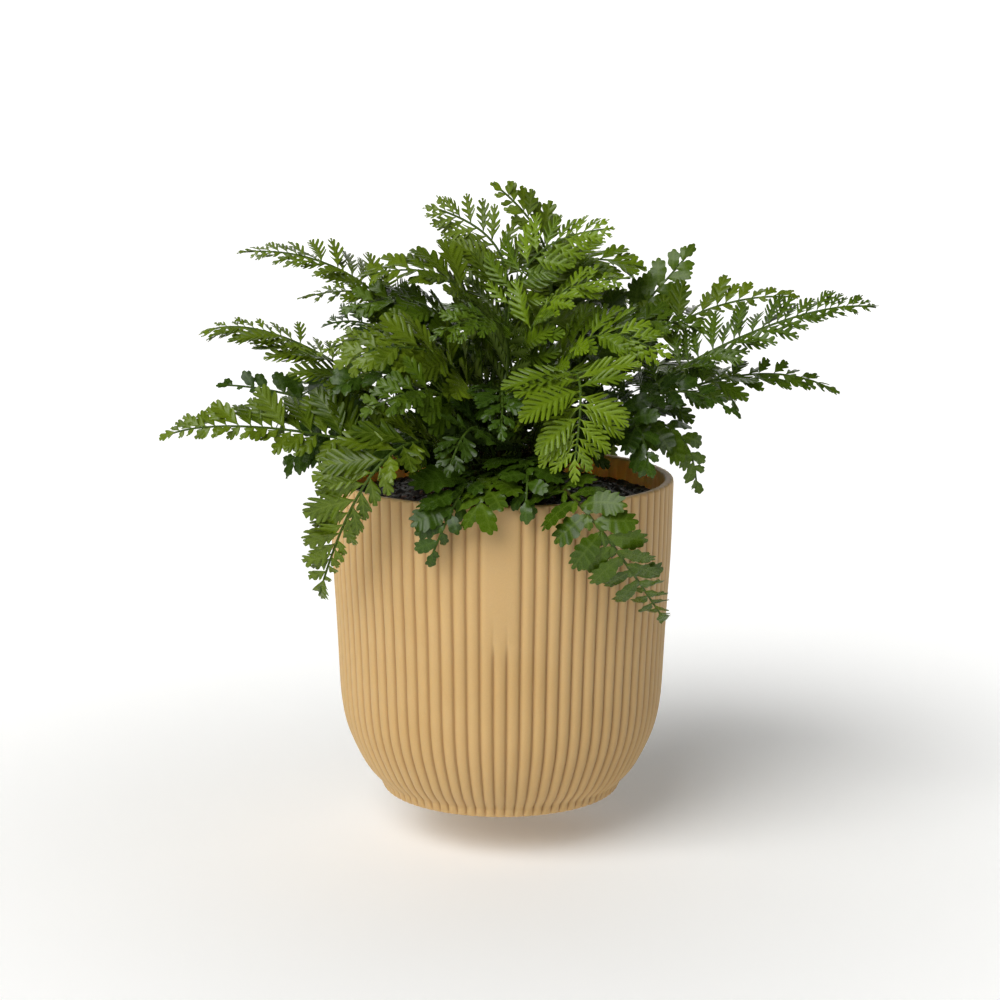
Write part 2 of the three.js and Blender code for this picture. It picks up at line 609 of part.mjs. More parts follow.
/** Short rhizome in its scales, with the croziers rooted in it. */
function crownGeometry() {
  const { radius, top, shoulder, bottom, sides } = CROWN;
  const brow = [0.7 * radius, THREE.MathUtils.lerp(shoulder, top, 0.7)];
  const profile = [[0, bottom], [radius, bottom], [radius, shoulder], brow, [0, top]];
  const core = new THREE.LatheGeometry(profile.map((p) => new THREE.Vector2(...p)), sides);
  core.rotateX(Math.PI / 2);
  const scales = Array.from({ length: SCALES.count }, (_, i) => {
    const share = i / SCALES.count;
    const scale = new THREE.ConeGeometry(SCALES.radius, SCALES.length, 3);
    scale.rotateX(Math.PI / 2);
    scale.rotateY(SCALES.lean);
    const r = radius * THREE.MathUtils.lerp(...SCALES.spread, share);
    scale.translate(r, 0, THREE.MathUtils.lerp(...SCALES.height, share));
    scale.rotateZ(rad(SEATS.turn * i));
    return scale;
  });
  const parts = [core, ...scales, ...CROZIERS.map(crozier)].map(toSolid);
  return toGeometry(parts.reduce((all, part) => all.add(part)));
}

// ---------- the whole plant in its pot ----------

function addPiece(group, name, geometry, color, roughness) {
  const mesh = new THREE.Mesh(geometry, new THREE.MeshStandardMaterial({ color, roughness, metalness: 0 }));
  mesh.name = name;
  group.add(mesh);
}

function crownHole() {
  const height = SOIL.middle - CROWN.bottom + GAP + HEADROOM;
  const hole = new THREE.CylinderGeometry(CROWN.radius + GAP, CROWN.radius + GAP, height, CROWN.sides);
  hole.rotateX(Math.PI / 2);
  hole.translate(0, 0, CROWN.bottom - GAP + height / 2);
  return hole;
}

/** Every vertex and points on every face of a closed piece. */
function pieceSamples(geometry) {
  const { array } = geometry.attributes.position;
  const at = (i) => new THREE.Vector3(array[3 * i], array[3 * i + 1], array[3 * i + 2]);
  const order = geometry.index.array;
  const points = [];
  for (let i = 0; i < order.length; i += 3) {
    points.push(...sampleTriangle(at(order[i]), at(order[i + 1]), at(order[i + 2]), BLADE.sample));
  }
  return points;
}

function makePottedFern() {
  const group = new THREE.Group();
  const crown = crownGeometry();
  const room = new Room(BLADE.clear);
  room.add(pieceSamples(crown), { name: 'crown', side: 0 });
  const seats = crownSeats();
  const fronds = FRONDS.map((row) => planFrond(row, seats, room));
  const holes = fronds.map(({ root, across }) => stemHole(root, Math.atan2(across.y, across.x)));
  addPiece(group, 'pot', potGeometry(), 0xd0b07a, 0.55);
  addPiece(group, 'soil', soilGeometry([...holes, crownHole()]), 0x3a2a20, 0.95);
  addPiece(group, 'crown', crown, 0x5d4a2c, 0.8);
  fronds.forEach((frond) => {
    addPiece(group, `frond_${frond.name}`, frondGeometry(frond, room), COLOURS[frond.form], 0.5);
  });
  return group;
}

export default makePottedFern();
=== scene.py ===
"""A potted spleenwort fern: forty-seven cut fronds in a round, ribbed plastic pot.

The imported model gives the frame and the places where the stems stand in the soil. Each class
below makes one part of the plant or of the picture. Lengths are in millimetres until a mesh
or a node is made of them, in metres.
"""
import logging
import math
from dataclasses import dataclass, field
from enum import Enum
from functools import lru_cache, partial
from typing import Callable

import bpy
import numpy as np
from mathutils import Matrix, Vector


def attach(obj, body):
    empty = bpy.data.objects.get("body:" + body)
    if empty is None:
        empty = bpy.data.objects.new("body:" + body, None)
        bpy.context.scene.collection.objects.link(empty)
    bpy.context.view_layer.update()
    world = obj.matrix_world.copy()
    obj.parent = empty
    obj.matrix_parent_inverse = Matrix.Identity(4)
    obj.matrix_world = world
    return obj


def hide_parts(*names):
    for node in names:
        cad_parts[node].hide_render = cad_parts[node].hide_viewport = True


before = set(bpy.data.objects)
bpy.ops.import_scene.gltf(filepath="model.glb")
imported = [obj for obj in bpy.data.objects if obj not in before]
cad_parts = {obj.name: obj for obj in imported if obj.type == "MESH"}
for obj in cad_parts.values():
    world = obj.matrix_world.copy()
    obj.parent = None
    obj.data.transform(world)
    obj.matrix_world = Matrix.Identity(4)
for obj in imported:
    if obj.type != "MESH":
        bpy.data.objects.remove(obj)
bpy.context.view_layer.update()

Array = np.ndarray
Pair = tuple[float, float]
Triple = tuple[float, float, float]
Point = Triple
Rng = np.random.Generator
Made = bpy.types.Object
Material = bpy.types.Material
Node = bpy.types.Node
Tree = bpy.types.NodeTree
Output = tuple[Node, str]
Adder = Callable[..., Node]
MM = 0.001
FULL_TURN = 2 * math.pi
GOLDEN_TURN = 137.5  # degrees between neighbours of a plant's spiral
UP = np.array([0.0, 0.0, 1.0])
LOG = logging.getLogger("fern")


# ---------- small tools ----------

def srgb(code: str) -> tuple[float, float, float, float]:
    """Turns an sRGB hex colour to linear.

    Args:
        code: six hex digits.

    Returns:
        Linear red, green and blue, and an alpha of 1.
    """
    parts = [int(code[i:i + 2], 16) / 255 for i in (0, 2, 4)]
    linear = [c / 12.92 if c <= 0.04045 else ((c + 0.055) / 1.055) ** 2.4 for c in parts]
    return (*linear, 1.0)


def connect(tree: Tree, node: Node, inputs: dict | tuple) -> None:
    """Sets and links inputs of a shader node.

    Args:
        tree: the tree that it stands in.
        node: the node.
        inputs: by name, or in the node's own order. Each is a plain value, a node, whose first
            output is meant, or a pair of a node and its output's name.
    """
    for key, value in inputs.items() if isinstance(inputs, dict) else enumerate(inputs):
        source, output = value if isinstance(value, tuple) and len(value) == 2 else (value, 0)
        if isinstance(source, Node):
            tree.links.new(source.outputs[output], node.inputs[key])
        else:
            node.inputs[key].default_value = value


def add_node(tree: Tree, kind: str, inputs: dict | tuple = (), **settings: str) -> Node:
    """Adds a shader node.

    Args:
        tree: the tree that it is added to.
        kind: the node's type without its "ShaderNode" prefix.
        inputs: as in connect.
        settings: its properties by name.

    Returns:
        The new node.
    """
    node = tree.nodes.new("ShaderNode" + kind)
    for name, value in settings.items():
        setattr(node, name, value)
    connect(tree, node, inputs)
    return node


def unit(vectors: Array) -> Array:
    """Vectors of length 1, along the last axis."""
    return vectors / np.maximum(np.linalg.norm(vectors, axis=-1, keepdims=True), 1e-12)


def ease(value: Array | float, low: float, high: float) -> Array | float:
    """Smooth step from 0 at low to 1 at high."""
    t = np.clip((value - low) / (high - low), 0, 1)
    return t * t * (3 - 2 * t)


def smooth_line(points: Array | tuple, steps: int) -> Array:
    """Runs a smooth line through points.

    Args:
        points: the corners, which the line passes.
        steps: how many pieces each stretch between two corners is cut into.

    Returns:
        The line's points, one row each.
    """
    p = np.array(points, float)
    p = np.vstack([2 * p[0] - p[1], p, 2 * p[-1] - p[-2]])
    t = (np.arange(steps) / steps)[:, None]
    rows = [0.5 * (2 * b + (c - a) * t + (2 * a - 5 * b + 4 * c - d) * t ** 2
                   + (3 * b - a - 3 * c + d) * t ** 3) for a, b, c, d in zip(p, p[1:], p[2:], p[3:])]
    return np.vstack([*rows, p[-2][None]])


# ---------- meshes ----------

@dataclass
class Mesh:
    """Points, faces and what is known of each point, gathered until one object is made of them."""

    name: str
    points: list[Array] = field(default_factory=list)
    faces: list[Array] = field(default_factory=list)
    finishes: list[Array] = field(default_factory=list)
    facts: dict[str, list[tuple[int, Array]]] = field(default_factory=dict)
    rims: list[Array] = field(default_factory=list)
    count: int = 0

    def add(self, points: Array, faces: list[Array], finish: int = 0, rim: Array | None = None,
            **facts: Array | float) -> None:
        """Adds a patch.

        Args:
            points: one row a point, in millimetres.
            faces: tables of one row a face, of three or four of the patch's own points.
            finish: the number of the material that it wears.
            rim: marks the points of its sharp edges.
            facts: values of each point, under the names that the materials read.
        """
        many = len(points)
        self.points.append(points)
        self.faces += [table + self.count for table in faces]
        self.finishes += [np.full(len(table), finish) for table in faces]
        self.rims.append(np.zeros(many, bool) if rim is None else rim)
        for name, value in facts.items():
            rows = np.broadcast_to(np.asarray(value, np.float32), (many, *np.shape(value)[1:]))
            self.facts.setdefault(name, []).append((self.count, rows))
        self.count += many

    def make(self, materials: list[Material]) -> Made:
        """Makes the object, in metres, and links it to the scene.

        Args:
            materials: what the patches' finish numbers stand for.

        Returns:
            The object.
        """
        mesh = bpy.data.meshes.new(self.name)
        points = np.vstack(self.points) * MM
        corners = np.concatenate([table.ravel() for table in self.faces])
        sizes = np.concatenate([np.full(len(table), table.shape[1]) for table in self.faces])
        mesh.vertices.add(len(points))
        mesh.vertices.foreach_set("co", points.astype(np.float32).ravel())
        mesh.loops.add(len(corners))
        mesh.loops.foreach_set("vertex_index", corners.astype(np.int32))
        mesh.polygons.add(len(sizes))
        mesh.polygons.foreach_set("loop_start", (np.cumsum(sizes) - sizes).astype(np.int32))
        mesh.polygons.foreach_set("material_index", np.concatenate(self.finishes).astype(np.int32))
        mesh.update(calc_edges=True)
        for material in materials:
            mesh.materials.append(material)
        self._store_facts(mesh)
        self._sharpen(mesh)
        made = bpy.data.objects.new(self.name, mesh)
        bpy.context.scene.collection.objects.link(made)
        return made

    def _store_facts(self, mesh: bpy.types.Mesh) -> None:
        """Writes the points' values as attributes of the mesh, with 0 where none is known."""
        for name, parts in self.facts.items():
            values = np.zeros((self.count, *parts[0][1].shape[1:]), np.float32)
            for start, rows in parts:
                values[start:start + len(rows)] = rows
            kind, key = ("FLOAT_VECTOR", "vector") if values.ndim > 1 else ("FLOAT", "value")
            mesh.attributes.new(name, kind, "POINT").data.foreach_set(key, values.ravel())

    def _sharpen(self, mesh: bpy.types.Mesh) -> None:
        """Marks all faces as smooth, and each edge between two rim points as sharp."""
        mesh.polygons.foreach_set("use_smooth", np.ones(len(mesh.polygons), bool))
        rim = np.concatenate(self.rims)
        if rim.any():
            ends = np.empty(len(mesh.edges) * 2, np.int32)
            mesh.edges.foreach_get("vertices", ends)
            mesh.edges.foreach_set("use_edge_sharp", rim[ends.reshape(-1, 2)].all(axis=1))


def grid_faces(rows: int, columns: int, closed: bool = True) -> Array:
    """Four-cornered faces between the points of a grid.

    Args:
        rows: how many rows of points.
        columns: how many points in a row.
        closed: joins the last column to the first.

    Returns:
        One row a face, turned so that rows upward and columns leftward face outward.
    """
    i = np.arange(rows - 1)[:, None]
    j = np.arange(columns if closed else columns - 1)[None, :]
    k = (j + 1) % columns
    quads = [i * columns + j, i * columns + k, (i + 1) * columns + k, (i + 1) * columns + j]
    return np.stack(np.broadcast_arrays(*quads), axis=-1).reshape(-1, 4)


def closed_rings(rings: Array, first: Array, last: Array) -> tuple[Array, list[Array]]:
    """Joins rings of points to a closed body, with a fan over each end.

    Args:
        rings: points by ring and place in it.
        first: middle of the first fan.
        last: middle of the last fan.

    Returns:
        Its points, and its long faces and end faces in the points' numbers.
    """
    rows, sides = rings.shape[:2]
    end = rows * sides
    j = np.arange(sides)
    k = (j + 1) % sides
    fans = [[k, j, np.full(sides, end)], [end - sides + j, end - sides + k, np.full(sides, end + 1)]]
    faces = [grid_faces(rows, sides), *(np.stack(fan, axis=1) for fan in fans)]
    return np.vstack([rings.reshape(-1, 3), first, last]), faces


def tube(line: Array, side: Array, face: Array, widths: Array, depths: Array, sides: int = 8,
         groove: float = 0.0) -> tuple[Array, list[Array]]:
    """A closed round tube along a line.

    Args:
        line: its centre points.
        side: direction across it at each point.
        face: direction of its upper side at each point.
        widths: full width across at each point.
        depths: full depth at each point.
        sides: points in a ring.
        groove: share of half the depth that its top is sunk by.

    Returns:
        Its points and faces, as in closed_rings.
    """
    angle = np.arange(sides) * FULL_TURN / sides
    lift = np.sin(angle) - groove * (np.sin(angle) > 0.99)
    rings = (line[:, None] + side[:, None] * (np.cos(angle)[None, :, None] * widths[:, None, None] / 2)
             + face[:, None] * (lift[None, :, None] * depths[:, None, None] / 2))
    return closed_rings(rings, line[0], line[-1])


# ---------- finishes ----------

SMOOTH = {"interpolation_type": "SMOOTHSTEP"}  # for a range of values that eases in and out


class Finish:
    """A material made of nodes. Each kind of surface gives its own look."""

    name = "finish"

    def make(self) -> Material:
        """Builds the material."""
        material = bpy.data.materials.new(self.name)
        material.use_nodes = True
        tree = material.node_tree
        add = partial(add_node, tree)
        connect(tree, tree.nodes["Principled BSDF"], self.look(add, (add("TexCoord"), "Object")))
        return material

    def look(self, add: Adder, place: Output) -> dict:
        """Adds the nodes of the look.

        Args:
            add: adds a node to the material, as add_node does.
            place: where a point of the surface lies, in metres.

        Returns:
            The shader's inputs by name.
        """
        raise NotImplementedError


@dataclass(frozen=True)
class MouldedPolypropylene(Finish):
    """Through-coloured polypropylene, injection moulded in a finely blasted mould.

    The eye sees a warm butter tone with no gloss points: broad soft highlights on the ribs,
    grooves made deeper in colour by painted shade, an inner wall made paler by painted light,
    and a fine even grain close up.
    """

    name: str = "moulded_polypropylene"
    crest: str = "C4A26C"
    # painted shade: the plastic is one colour through, and this darker colour stands in for the shade in the
    # grooves
    groove: str = "9C7340"
    cloud: str = "BA975E"
    inner: str = "F6D69C"  # painted light: far paler than the plastic, standing in for the light that the walls throw on each other
    roughness: float = 0.5
    ior: float = 1.49
    grain: float = 0.35  # mm, coarser than the mould's own 0.1 mm so that it shows
    relief: float = 0.06  # mm, height of that grain
    clouds: float = 38.0  # mm, faint flow marks
    glow: float = 0.35  # share of the light that enters the plastic and leaves it warmer
    reach: float = 6.0  # mm that this light goes
    warmth: Triple = (1.0, 0.74, 0.42)  # how far its red, green and blue go, as shares of that

    def look(self, add: Adder, place: Output) -> dict:
        """Adds the nodes of the look, as in Finish."""
        clouds = add("TexNoise", {"Vector": place, "Scale": 1 / (self.clouds * MM), "Detail": 3})
        cloudy = add("MapRange", (clouds, 0.35, 0.7, 0, 0.5), **SMOOTH)
        body = add("MixRGB", (cloudy, srgb(self.crest), srgb(self.cloud)))
        # painted shade: points deep in a groove are darkened towards the groove colour
        groove = add("Attribute", attribute_name="groove")
        sunk = add("MapRange", ((groove, "Fac"), 0.15, 1, 0, 0.75), **SMOOTH)
        outside = add("MixRGB", (sunk, body, srgb(self.groove)))
        # painted light: the inner wall is painted in the paler inner colour
        inside = add("Attribute", attribute_name="inside")
        colour = add("MixRGB", ((inside, "Fac"), outside, srgb(self.inner)))
        grain = add("TexNoise", {"Vector": place, "Scale": 1 / (self.grain * MM), "Detail": 3})
        speck = add("MapRange", (grain, 0.3, 0.75, 0.965, 1.03), **SMOOTH)
        tinted = add("VectorMath", {0: colour, "Scale": speck}, operation="SCALE")
        least, most = self.roughness - 0.05, self.roughness + 0.08
        rough = add("MapRange", (grain, 0.2, 0.8, least, most), **SMOOTH)
        bump = add("Bump", {"Height": grain, "Strength": 0.22, "Distance": self.relief * MM})
        return {"Base Color": tinted, "Roughness": rough, "Normal": bump, "IOR": self.ior,
                "Subsurface Weight": self.glow, "Subsurface Radius": self.warmth,
                "Subsurface Scale": self.reach * MM}


@dataclass(frozen=True)
class PottingSoil(Finish):
    """Moist peat and fine bark, loose and hand filled.

    The eye sees near-black crumbs, some of them red-brown, with small wet glints.
    """

    name: str = "moist_peat_and_bark"
    peat: str = "1D130E"
    bark: str = "5A3624"
    pale: str = "8A6A50"
    fibre: float = 0.8  # mm
    relief: float = 0.5  # mm, height of the fibres
    damp: float = 3.0  # mm, patches that are wetter or drier

    def look(self, add: Adder, place: Output) -> dict:
        """Adds the nodes of the look, as in Finish."""
        tint = (add("Attribute", attribute_name="tint"), "Fac")
        brown = add("MapRange", (tint, 0.45, 0.85), **SMOOTH)
        base = add("MixRGB", (brown, srgb(self.peat), srgb(self.bark)))
        chip = add("MapRange", (tint, 0.93, 1), **SMOOTH)
        chips = add("MixRGB", (chip, base, srgb(self.pale)))
        fibre = add("TexNoise", {"Vector": place, "Scale": 1 / (self.fibre * MM), "Detail": 4})
        dark = add("MapRange", (fibre, 0.3, 0.7, 0.55, 1.3), **SMOOTH)
        colour = add("VectorMath", {0: chips, "Scale": dark}, operation="SCALE")
        patches = add("TexNoise", {"Vector": place, "Scale": 1 / (self.damp * MM)})
        damp = add("MapRange", (patches, 0.4, 0.65, 0.42, 0.9), **SMOOTH)
        bump = add("Bump", {"Height": fibre, "Strength": 0.9, "Distance": self.relief * MM})
        return {"Base Color": colour, "Roughness": damp, "Normal": bump}


class Tone(Enum):
    """A frond's green, set by its age and by painted light and shade where it stands: deep, light, under,
    rib.
    """

    # painted light and shade: the darker tones also go to fronds deep in the plant's shade, the brighter to
    # fronds in full light
    BRIGHT = ("2E4802", "677E10", "637325", "73862E")
    LIGHT = ("2F4704", "698211", "697C27", "7C9133")
    OLIVE = ("283C04", "5A6D0F", "607126", "738430")
    MID = ("213604", "475E0C", "546623", "667B2A")
    DARK = ("152804", "31480A", "42571E", "526A24")
    SHADE = ("112204", "2A3D0A", "394C1C", "485D24")


@dataclass(frozen=True)
class SpleenwortLeaf(Finish):
    """Living spleenwort leaf: thin, leathery, grown with a waxed upper skin.

    The eye sees a satin green that glints where a lobe turns to the light, paler veins sunk in
    it, a dull pale underside, and some leaflets yellower than their neighbours.
    """

    tone: Tone
    vein: float = 0.3  # mm, half the width of a midrib; the finer veins are drawn at twice their width
    mottle: float = 5.0  # mm
    cells: float = 0.45  # mm, three times coarser than the real skin cells so that they show
    relief: float = 0.08  # mm, height of the cells
    roughness: float = 0.27
    ior: float = 1.38
    gloss: float = 0.36

    @property
    def name(self) -> str:
        """The material's name, with its tone."""
        return f"spleenwort_leaf_{self.tone.name.lower()}"

    def look(self, add: Adder, place: Output) -> dict:
        """Adds the nodes of the look, as in Finish."""
        deep, light, under, rib = map(srgb, self.tone.value)
        tint = add("Attribute", attribute_name="tint")
        mottle = add("TexNoise", {"Vector": place, "Scale": 1 / (self.mottle * MM), "Detail": 3})
        blend = add("Math", (mottle, 0.55, (tint, "Fac")), operation="MULTIPLY_ADD")
        green = add("MapRange", (blend, 0.15, 1.25), **SMOOTH)
        upper = add("MixRGB", (green, deep, light))
        veining = add("Attribute", attribute_name="veining")
        point = add("SeparateXYZ", {0: (veining, "Vector")})
        end = add("MapRange", ((point, "Z"), 0.45, 1, 0, 0.35), **SMOOTH)
        ended = add("MixRGB", (end, upper, light))
        veined = add("MixRGB", (self.veins(add, point), ended, rib))
        below = add("Attribute", attribute_name="under")
        side = add("MapRange", ((below, "Fac"), 0.6, 0.9), **SMOOTH)
        colour = add("MixRGB", (side, veined, under))
        cells = add("TexNoise", {"Vector": place, "Scale": 1 / (self.cells * MM)})
        least, most = self.roughness - 0.06, self.roughness + 0.1
        rough = add("MapRange", (cells, 0.3, 0.7, least, most), **SMOOTH)
        rougher = add("Math", (side, 0.25, rough), operation="MULTIPLY_ADD")
        bump = add("Bump", {"Height": cells, "Strength": 0.35, "Distance": self.relief * MM})
        return {"Base Color": colour, "Roughness": rougher, "Normal": bump, "IOR": self.ior,
                "Specular IOR Level": self.gloss}

    def veins(self, add: Adder, point: Node) -> Node:
        """Share of the rib colour: the midrib, and a finer vein down the middle of each lobe.

        Args:
            add: adds a node to the material.
            point: splits the veining value of the mesh.

        Returns:
            The node that gives the share.
        """
        midrib = add("MapRange", ((point, "Y"), self.vein, 2.4 * self.vein, 0.26, 0), **SMOOTH)
        lobe = add("Math", {0: (point, "X")}, operation="FRACT")
        off = add("Math", (lobe, 0.56), operation="SUBTRACT")
        far = add("Math", (off,), operation="ABSOLUTE")
        line = add("MapRange", (far, 0.03, 0.2, 0.2, 0), **SMOOTH)
        return add("Math", (midrib, line), operation="MAXIMUM")


@dataclass(frozen=True)
class FernStalk(Finish):
    """Living fern stalk: firm and round, grown with a groove along its top.

    The eye sees dark brown at the foot that turns to the leaf's green, with a dull shine.
    """

    name: str = "fern_stalk"
    foot: str = "2E1C0E"
    green: str = "3C5014"
    streak: float = 1.2  # mm
    relief: float = 0.1  # mm, height of the streaks
    roughness: float = 0.5
    gloss: float = 0.15

    def look(self, add: Adder, place: Output) -> dict:
        """Adds the nodes of the look, as in Finish."""
        age = add("Attribute", attribute_name="age")
        share = add("MapRange", ((age, "Fac"),), **SMOOTH)
        colour = add("MixRGB", (share, srgb(self.foot), srgb(self.green)))
        streak = add("TexNoise", {"Vector": place, "Scale": 1 / (self.streak * MM), "Detail": 3})
        shade = add("MapRange", (streak, 0.3, 0.7, 0.75, 1.25), **SMOOTH)
        tinted = add("VectorMath", {0: colour, "Scale": shade}, operation="SCALE")
        bump = add("Bump", {"Height": streak, "Strength": 0.4, "Distance": self.relief * MM})
        return {"Base Color": tinted, "Normal": bump, "Roughness": self.roughness,
                "Specular IOR Level": self.gloss}


@dataclass(frozen=True)
class FernScales(Finish):
    """Dry, papery scales that a fern sheathes its crown and young coils in.

    The eye sees thin brown flakes, paler at their tips, with hardly any shine.
    """

    name: str = "papery_scales"
    dark: str = "3A2716"
    pale: str = "8E7A4C"
    grain: float = 1.5  # mm
    roughness: float = 0.7

    def look(self, add: Adder, place: Output) -> dict:
        """Adds the nodes of the look, as in Finish."""
        grain = add("TexNoise", {"Vector": place, "Scale": 1 / (self.grain * MM), "Detail": 3})
        tint = add("Attribute", attribute_name="tint")
        blend = add("Math", (grain, 0.5, (tint, "Fac")), operation="MULTIPLY_ADD")
        share = add("MapRange", (blend, 0.2, 1.2), **SMOOTH)
        colour = add("MixRGB", (share, srgb(self.dark), srgb(self.pale)))
        return {"Base Color": colour, "Roughness": self.roughness}


@dataclass(frozen=True)
class YoungCoil(Finish):
    """Soft tissue of a frond still coiled, grown under a felt of short hairs.

    The eye sees a pale, dull green with brown flecks.
    """

    name: str = "young_coil"
    green: str = "7E9A55"
    fleck: str = "6B5A34"
    felt: float = 0.7  # mm
    relief: float = 0.2  # mm, height of the felt
    roughness: float = 0.65

    def look(self, add: Adder, place: Output) -> dict:
        """Adds the nodes of the look, as in Finish."""
        felt = add("TexNoise", {"Vector": place, "Scale": 1 / (self.felt * MM), "Detail": 3})
        share = add("MapRange", (felt, 0.48, 0.7), **SMOOTH)
        colour = add("MixRGB", (share, srgb(self.green), srgb(self.fleck)))
        bump = add("Bump", {"Height": felt, "Strength": 0.8, "Distance": self.relief * MM})
        return {"Base Color": colour, "Normal": bump, "Roughness": self.roughness}


@dataclass(frozen=True)
class OpalAcrylic(Finish):
    """Cast opal acrylic of a light table, lit from below. The eye sees an even white ground, darker round
    the pot by a painted shadow.
    """

    name: str = "opal_acrylic"
    white: str = "F0F0EE"
    grey: str = "E4E4E2"
    lamp: str = "FFFFFF"
    haze: float = 900.0  # mm, hardly seen clouds
    glow: float = 0.4
    painted_shadow: float = 0.3  # share of that glow under the pot, turned down there as a painted shadow round its foot
    near: float = 60.0  # mm from the pot's axis, where the glow starts to rise out of the painted shadow
    wide: float = 420.0  # mm from it, where the glow is full and the painted shadow ends
    roughness: float = 0.9
    gloss: float = 0.1

    def look(self, add: Adder, place: Output) -> dict:
        """Adds the nodes of the look, as in Finish."""
        haze = add("TexNoise", {"Vector": place, "Scale": 1 / (self.haze * MM), "Detail": 1})
        share = add("MapRange", (haze, 0, 1, 0, 0.04), **SMOOTH)
        colour = add("MixRGB", (share, srgb(self.white), srgb(self.grey)))
        # painted shadow: the glow is turned down near the pot's axis, so the ground round the pot looks
        # shaded
        far = add("VectorMath", {0: place}, operation="LENGTH")
        least = self.painted_shadow * self.glow
        glow = add("MapRange", ((far, "Value"), self.near * MM, self.wide * MM, least, self.glow), **SMOOTH)
        return {"Base Color": colour, "Emission Color": srgb(self.lamp), "Emission Strength": glow,
                "Roughness": self.roughness, "Specular IOR Level": self.gloss}


# ---------- pot ----------

@dataclass
class Pot:
    """The ribbed pot: small foot, round bowl, flat lip, and a smooth panel at the front."""

    ribs: int = 80
    rib_depth: float = 1.3
    rib_steps: tuple[float, ...] = (-0.85, -0.6, -0.3, 0.0, 0.3, 0.6, 0.85, 1.0)  # in half pitches
    rib_shape: Pair = (0.72, 0.28)  # how much of a groove is a soft bow, and how much its sharp bottom
    rib_foot: Pair = (0.35, 4.0)  # share of their depth at the very foot, and height of their full depth
    panel_ribs: int = 3  # pitches that the smooth panel takes
    panel_foot: Pair = (68.0, 80.0)  # heights between which it rises out of the ribs
    height: float = 130.0
    floor: float = 4.0
    foot_round: float = 1.5
    lip_round: Pair = (0.9, 1.55)  # how deep it is, and how much higher than deep
    lip_turns: tuple[Pair, ...] = ((30, 0.75), (60, 0.45), (90, 0.25))  # degrees, share of the ribs' depth
    lip_inside: tuple[Pair, ...] = ((0.0, 0.9), (0.35, 0.25))  # down from the top, out from the inner wall
    inner_ribs: Pair = (0.45, 0.09)  # how far the ribs show on the inner wall, and on the lip above it
    inner_fade: Pair = (90.0, 110.0)  # heights between which the inner ribs fade in
    outside: tuple[Pair, ...] = (
        (0.0, 47.6), (0.6, 48.8), (2.4, 49.7), (4.0, 50.3), (5.4, 51.4), (8.0, 53.9), (12.1, 56.9),
        (20.6, 61.2), (29.5, 64.4), (40.6, 66.2), (58.0, 67.1), (76.6, 68.0), (98.9, 69.3),
        (120.0, 69.8), (128.6, 70.0))
    inside: tuple[Pair, ...] = ((4.0, 47.5), (26.0, 59.2), (112.0, 65.8), (128.8, 66.3))

    def inner_radius(self, z: float) -> float:
        """Radius of the inside at a height."""
        return float(np.interp(z, *zip(*self.inside)))

    def groove(self, pitches: Array, z: float) -> Array:
        """How deep each point lies between two ribs, from 0 on a crest to 1 in a groove."""
        from_front = (pitches + self.ribs / 2) % self.ribs - self.ribs / 2
        to_edge = self.panel_ribs / 2 - np.abs(from_front)
        rib = np.clip(2 * np.abs(from_front - np.round(from_front)), 0, 1)
        panel = np.clip(1 - 2 * to_edge, 0, 1)
        soft, sharp = self.rib_shape
        ribbed, flat = (soft * x ** 2 + sharp * x ** 6 for x in (rib, panel))
        rise = ease(z, *self.panel_foot)
        return np.where(to_edge > 1e-6, ribbed * (1 - rise) + flat * rise, ribbed)

    def build(self) -> Made:
        """Makes the pot as one closed body."""
        pitches = (np.arange(self.ribs)[:, None] + np.array(self.rib_steps) / 2).ravel()
        angles = pitches * FULL_TURN / self.ribs
        rings, grooves, inside = [], [], []
        for z, r, depth, within in self._rows():
            sunk = self.groove(pitches, z)
            radius = r - depth * sunk
            flat = [radius * np.sin(angles), -radius * np.cos(angles)]
            rings.append(np.stack([*flat, np.full_like(angles, z)], axis=1))
            grooves.append(sunk * min(1.0, abs(depth)))
            inside.append(np.full_like(angles, within))
        points, faces = closed_rings(np.array(rings), 0 * UP, self.floor * UP)
        mesh = Mesh("ribbed_pot")
        # groove drives the painted shade in the grooves, and inside drives the painted light on the inner
        # wall
        mesh.add(points, faces, groove=np.concatenate([*grooves, [0, 0]]),
                 inside=np.concatenate([*inside, [0, 1]]))
        made = mesh.make([MouldedPolypropylene().make()])
        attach(made, "root")
        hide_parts("pot")
        return made

    def _rows(self) -> list[tuple[float, float, float, bool]]:
        """Every ring from the foot over the lip to the floor.

        Returns:
            Height, radius, depth of the grooves, and whether it is seen inside the pot.
        """
        outer, inner = smooth_line(self.outside, 3), smooth_line(self.inside, 3)[::-1]
        least, full = self.rib_foot
        rows = [(0.0, outer[0, 1] - self.foot_round, 0.0, False)]
        for z, r in outer:
            rows.append((z, r, self.rib_depth * (least + (1 - least) * ease(z, 0.0, full)), False))
        deep, high = self.lip_round
        for turn, share in self.lip_turns:
            z = outer[-1, 0] + deep * math.sin(math.radians(turn)) * high
            r = outer[-1, 1] - deep * (1 - math.cos(math.radians(turn)))
            rows.append((min(z, self.height), r, self.rib_depth * share, False))
        ribs, faint = self.inner_ribs
        for down, out in self.lip_inside:
            rows.append((self.height - down, inner[0, 1] + out, -faint, False))
        return rows + [(z, r, -ribs * ease(z, *self.inner_fade), True) for z, r in inner]


# ---------- soil ----------

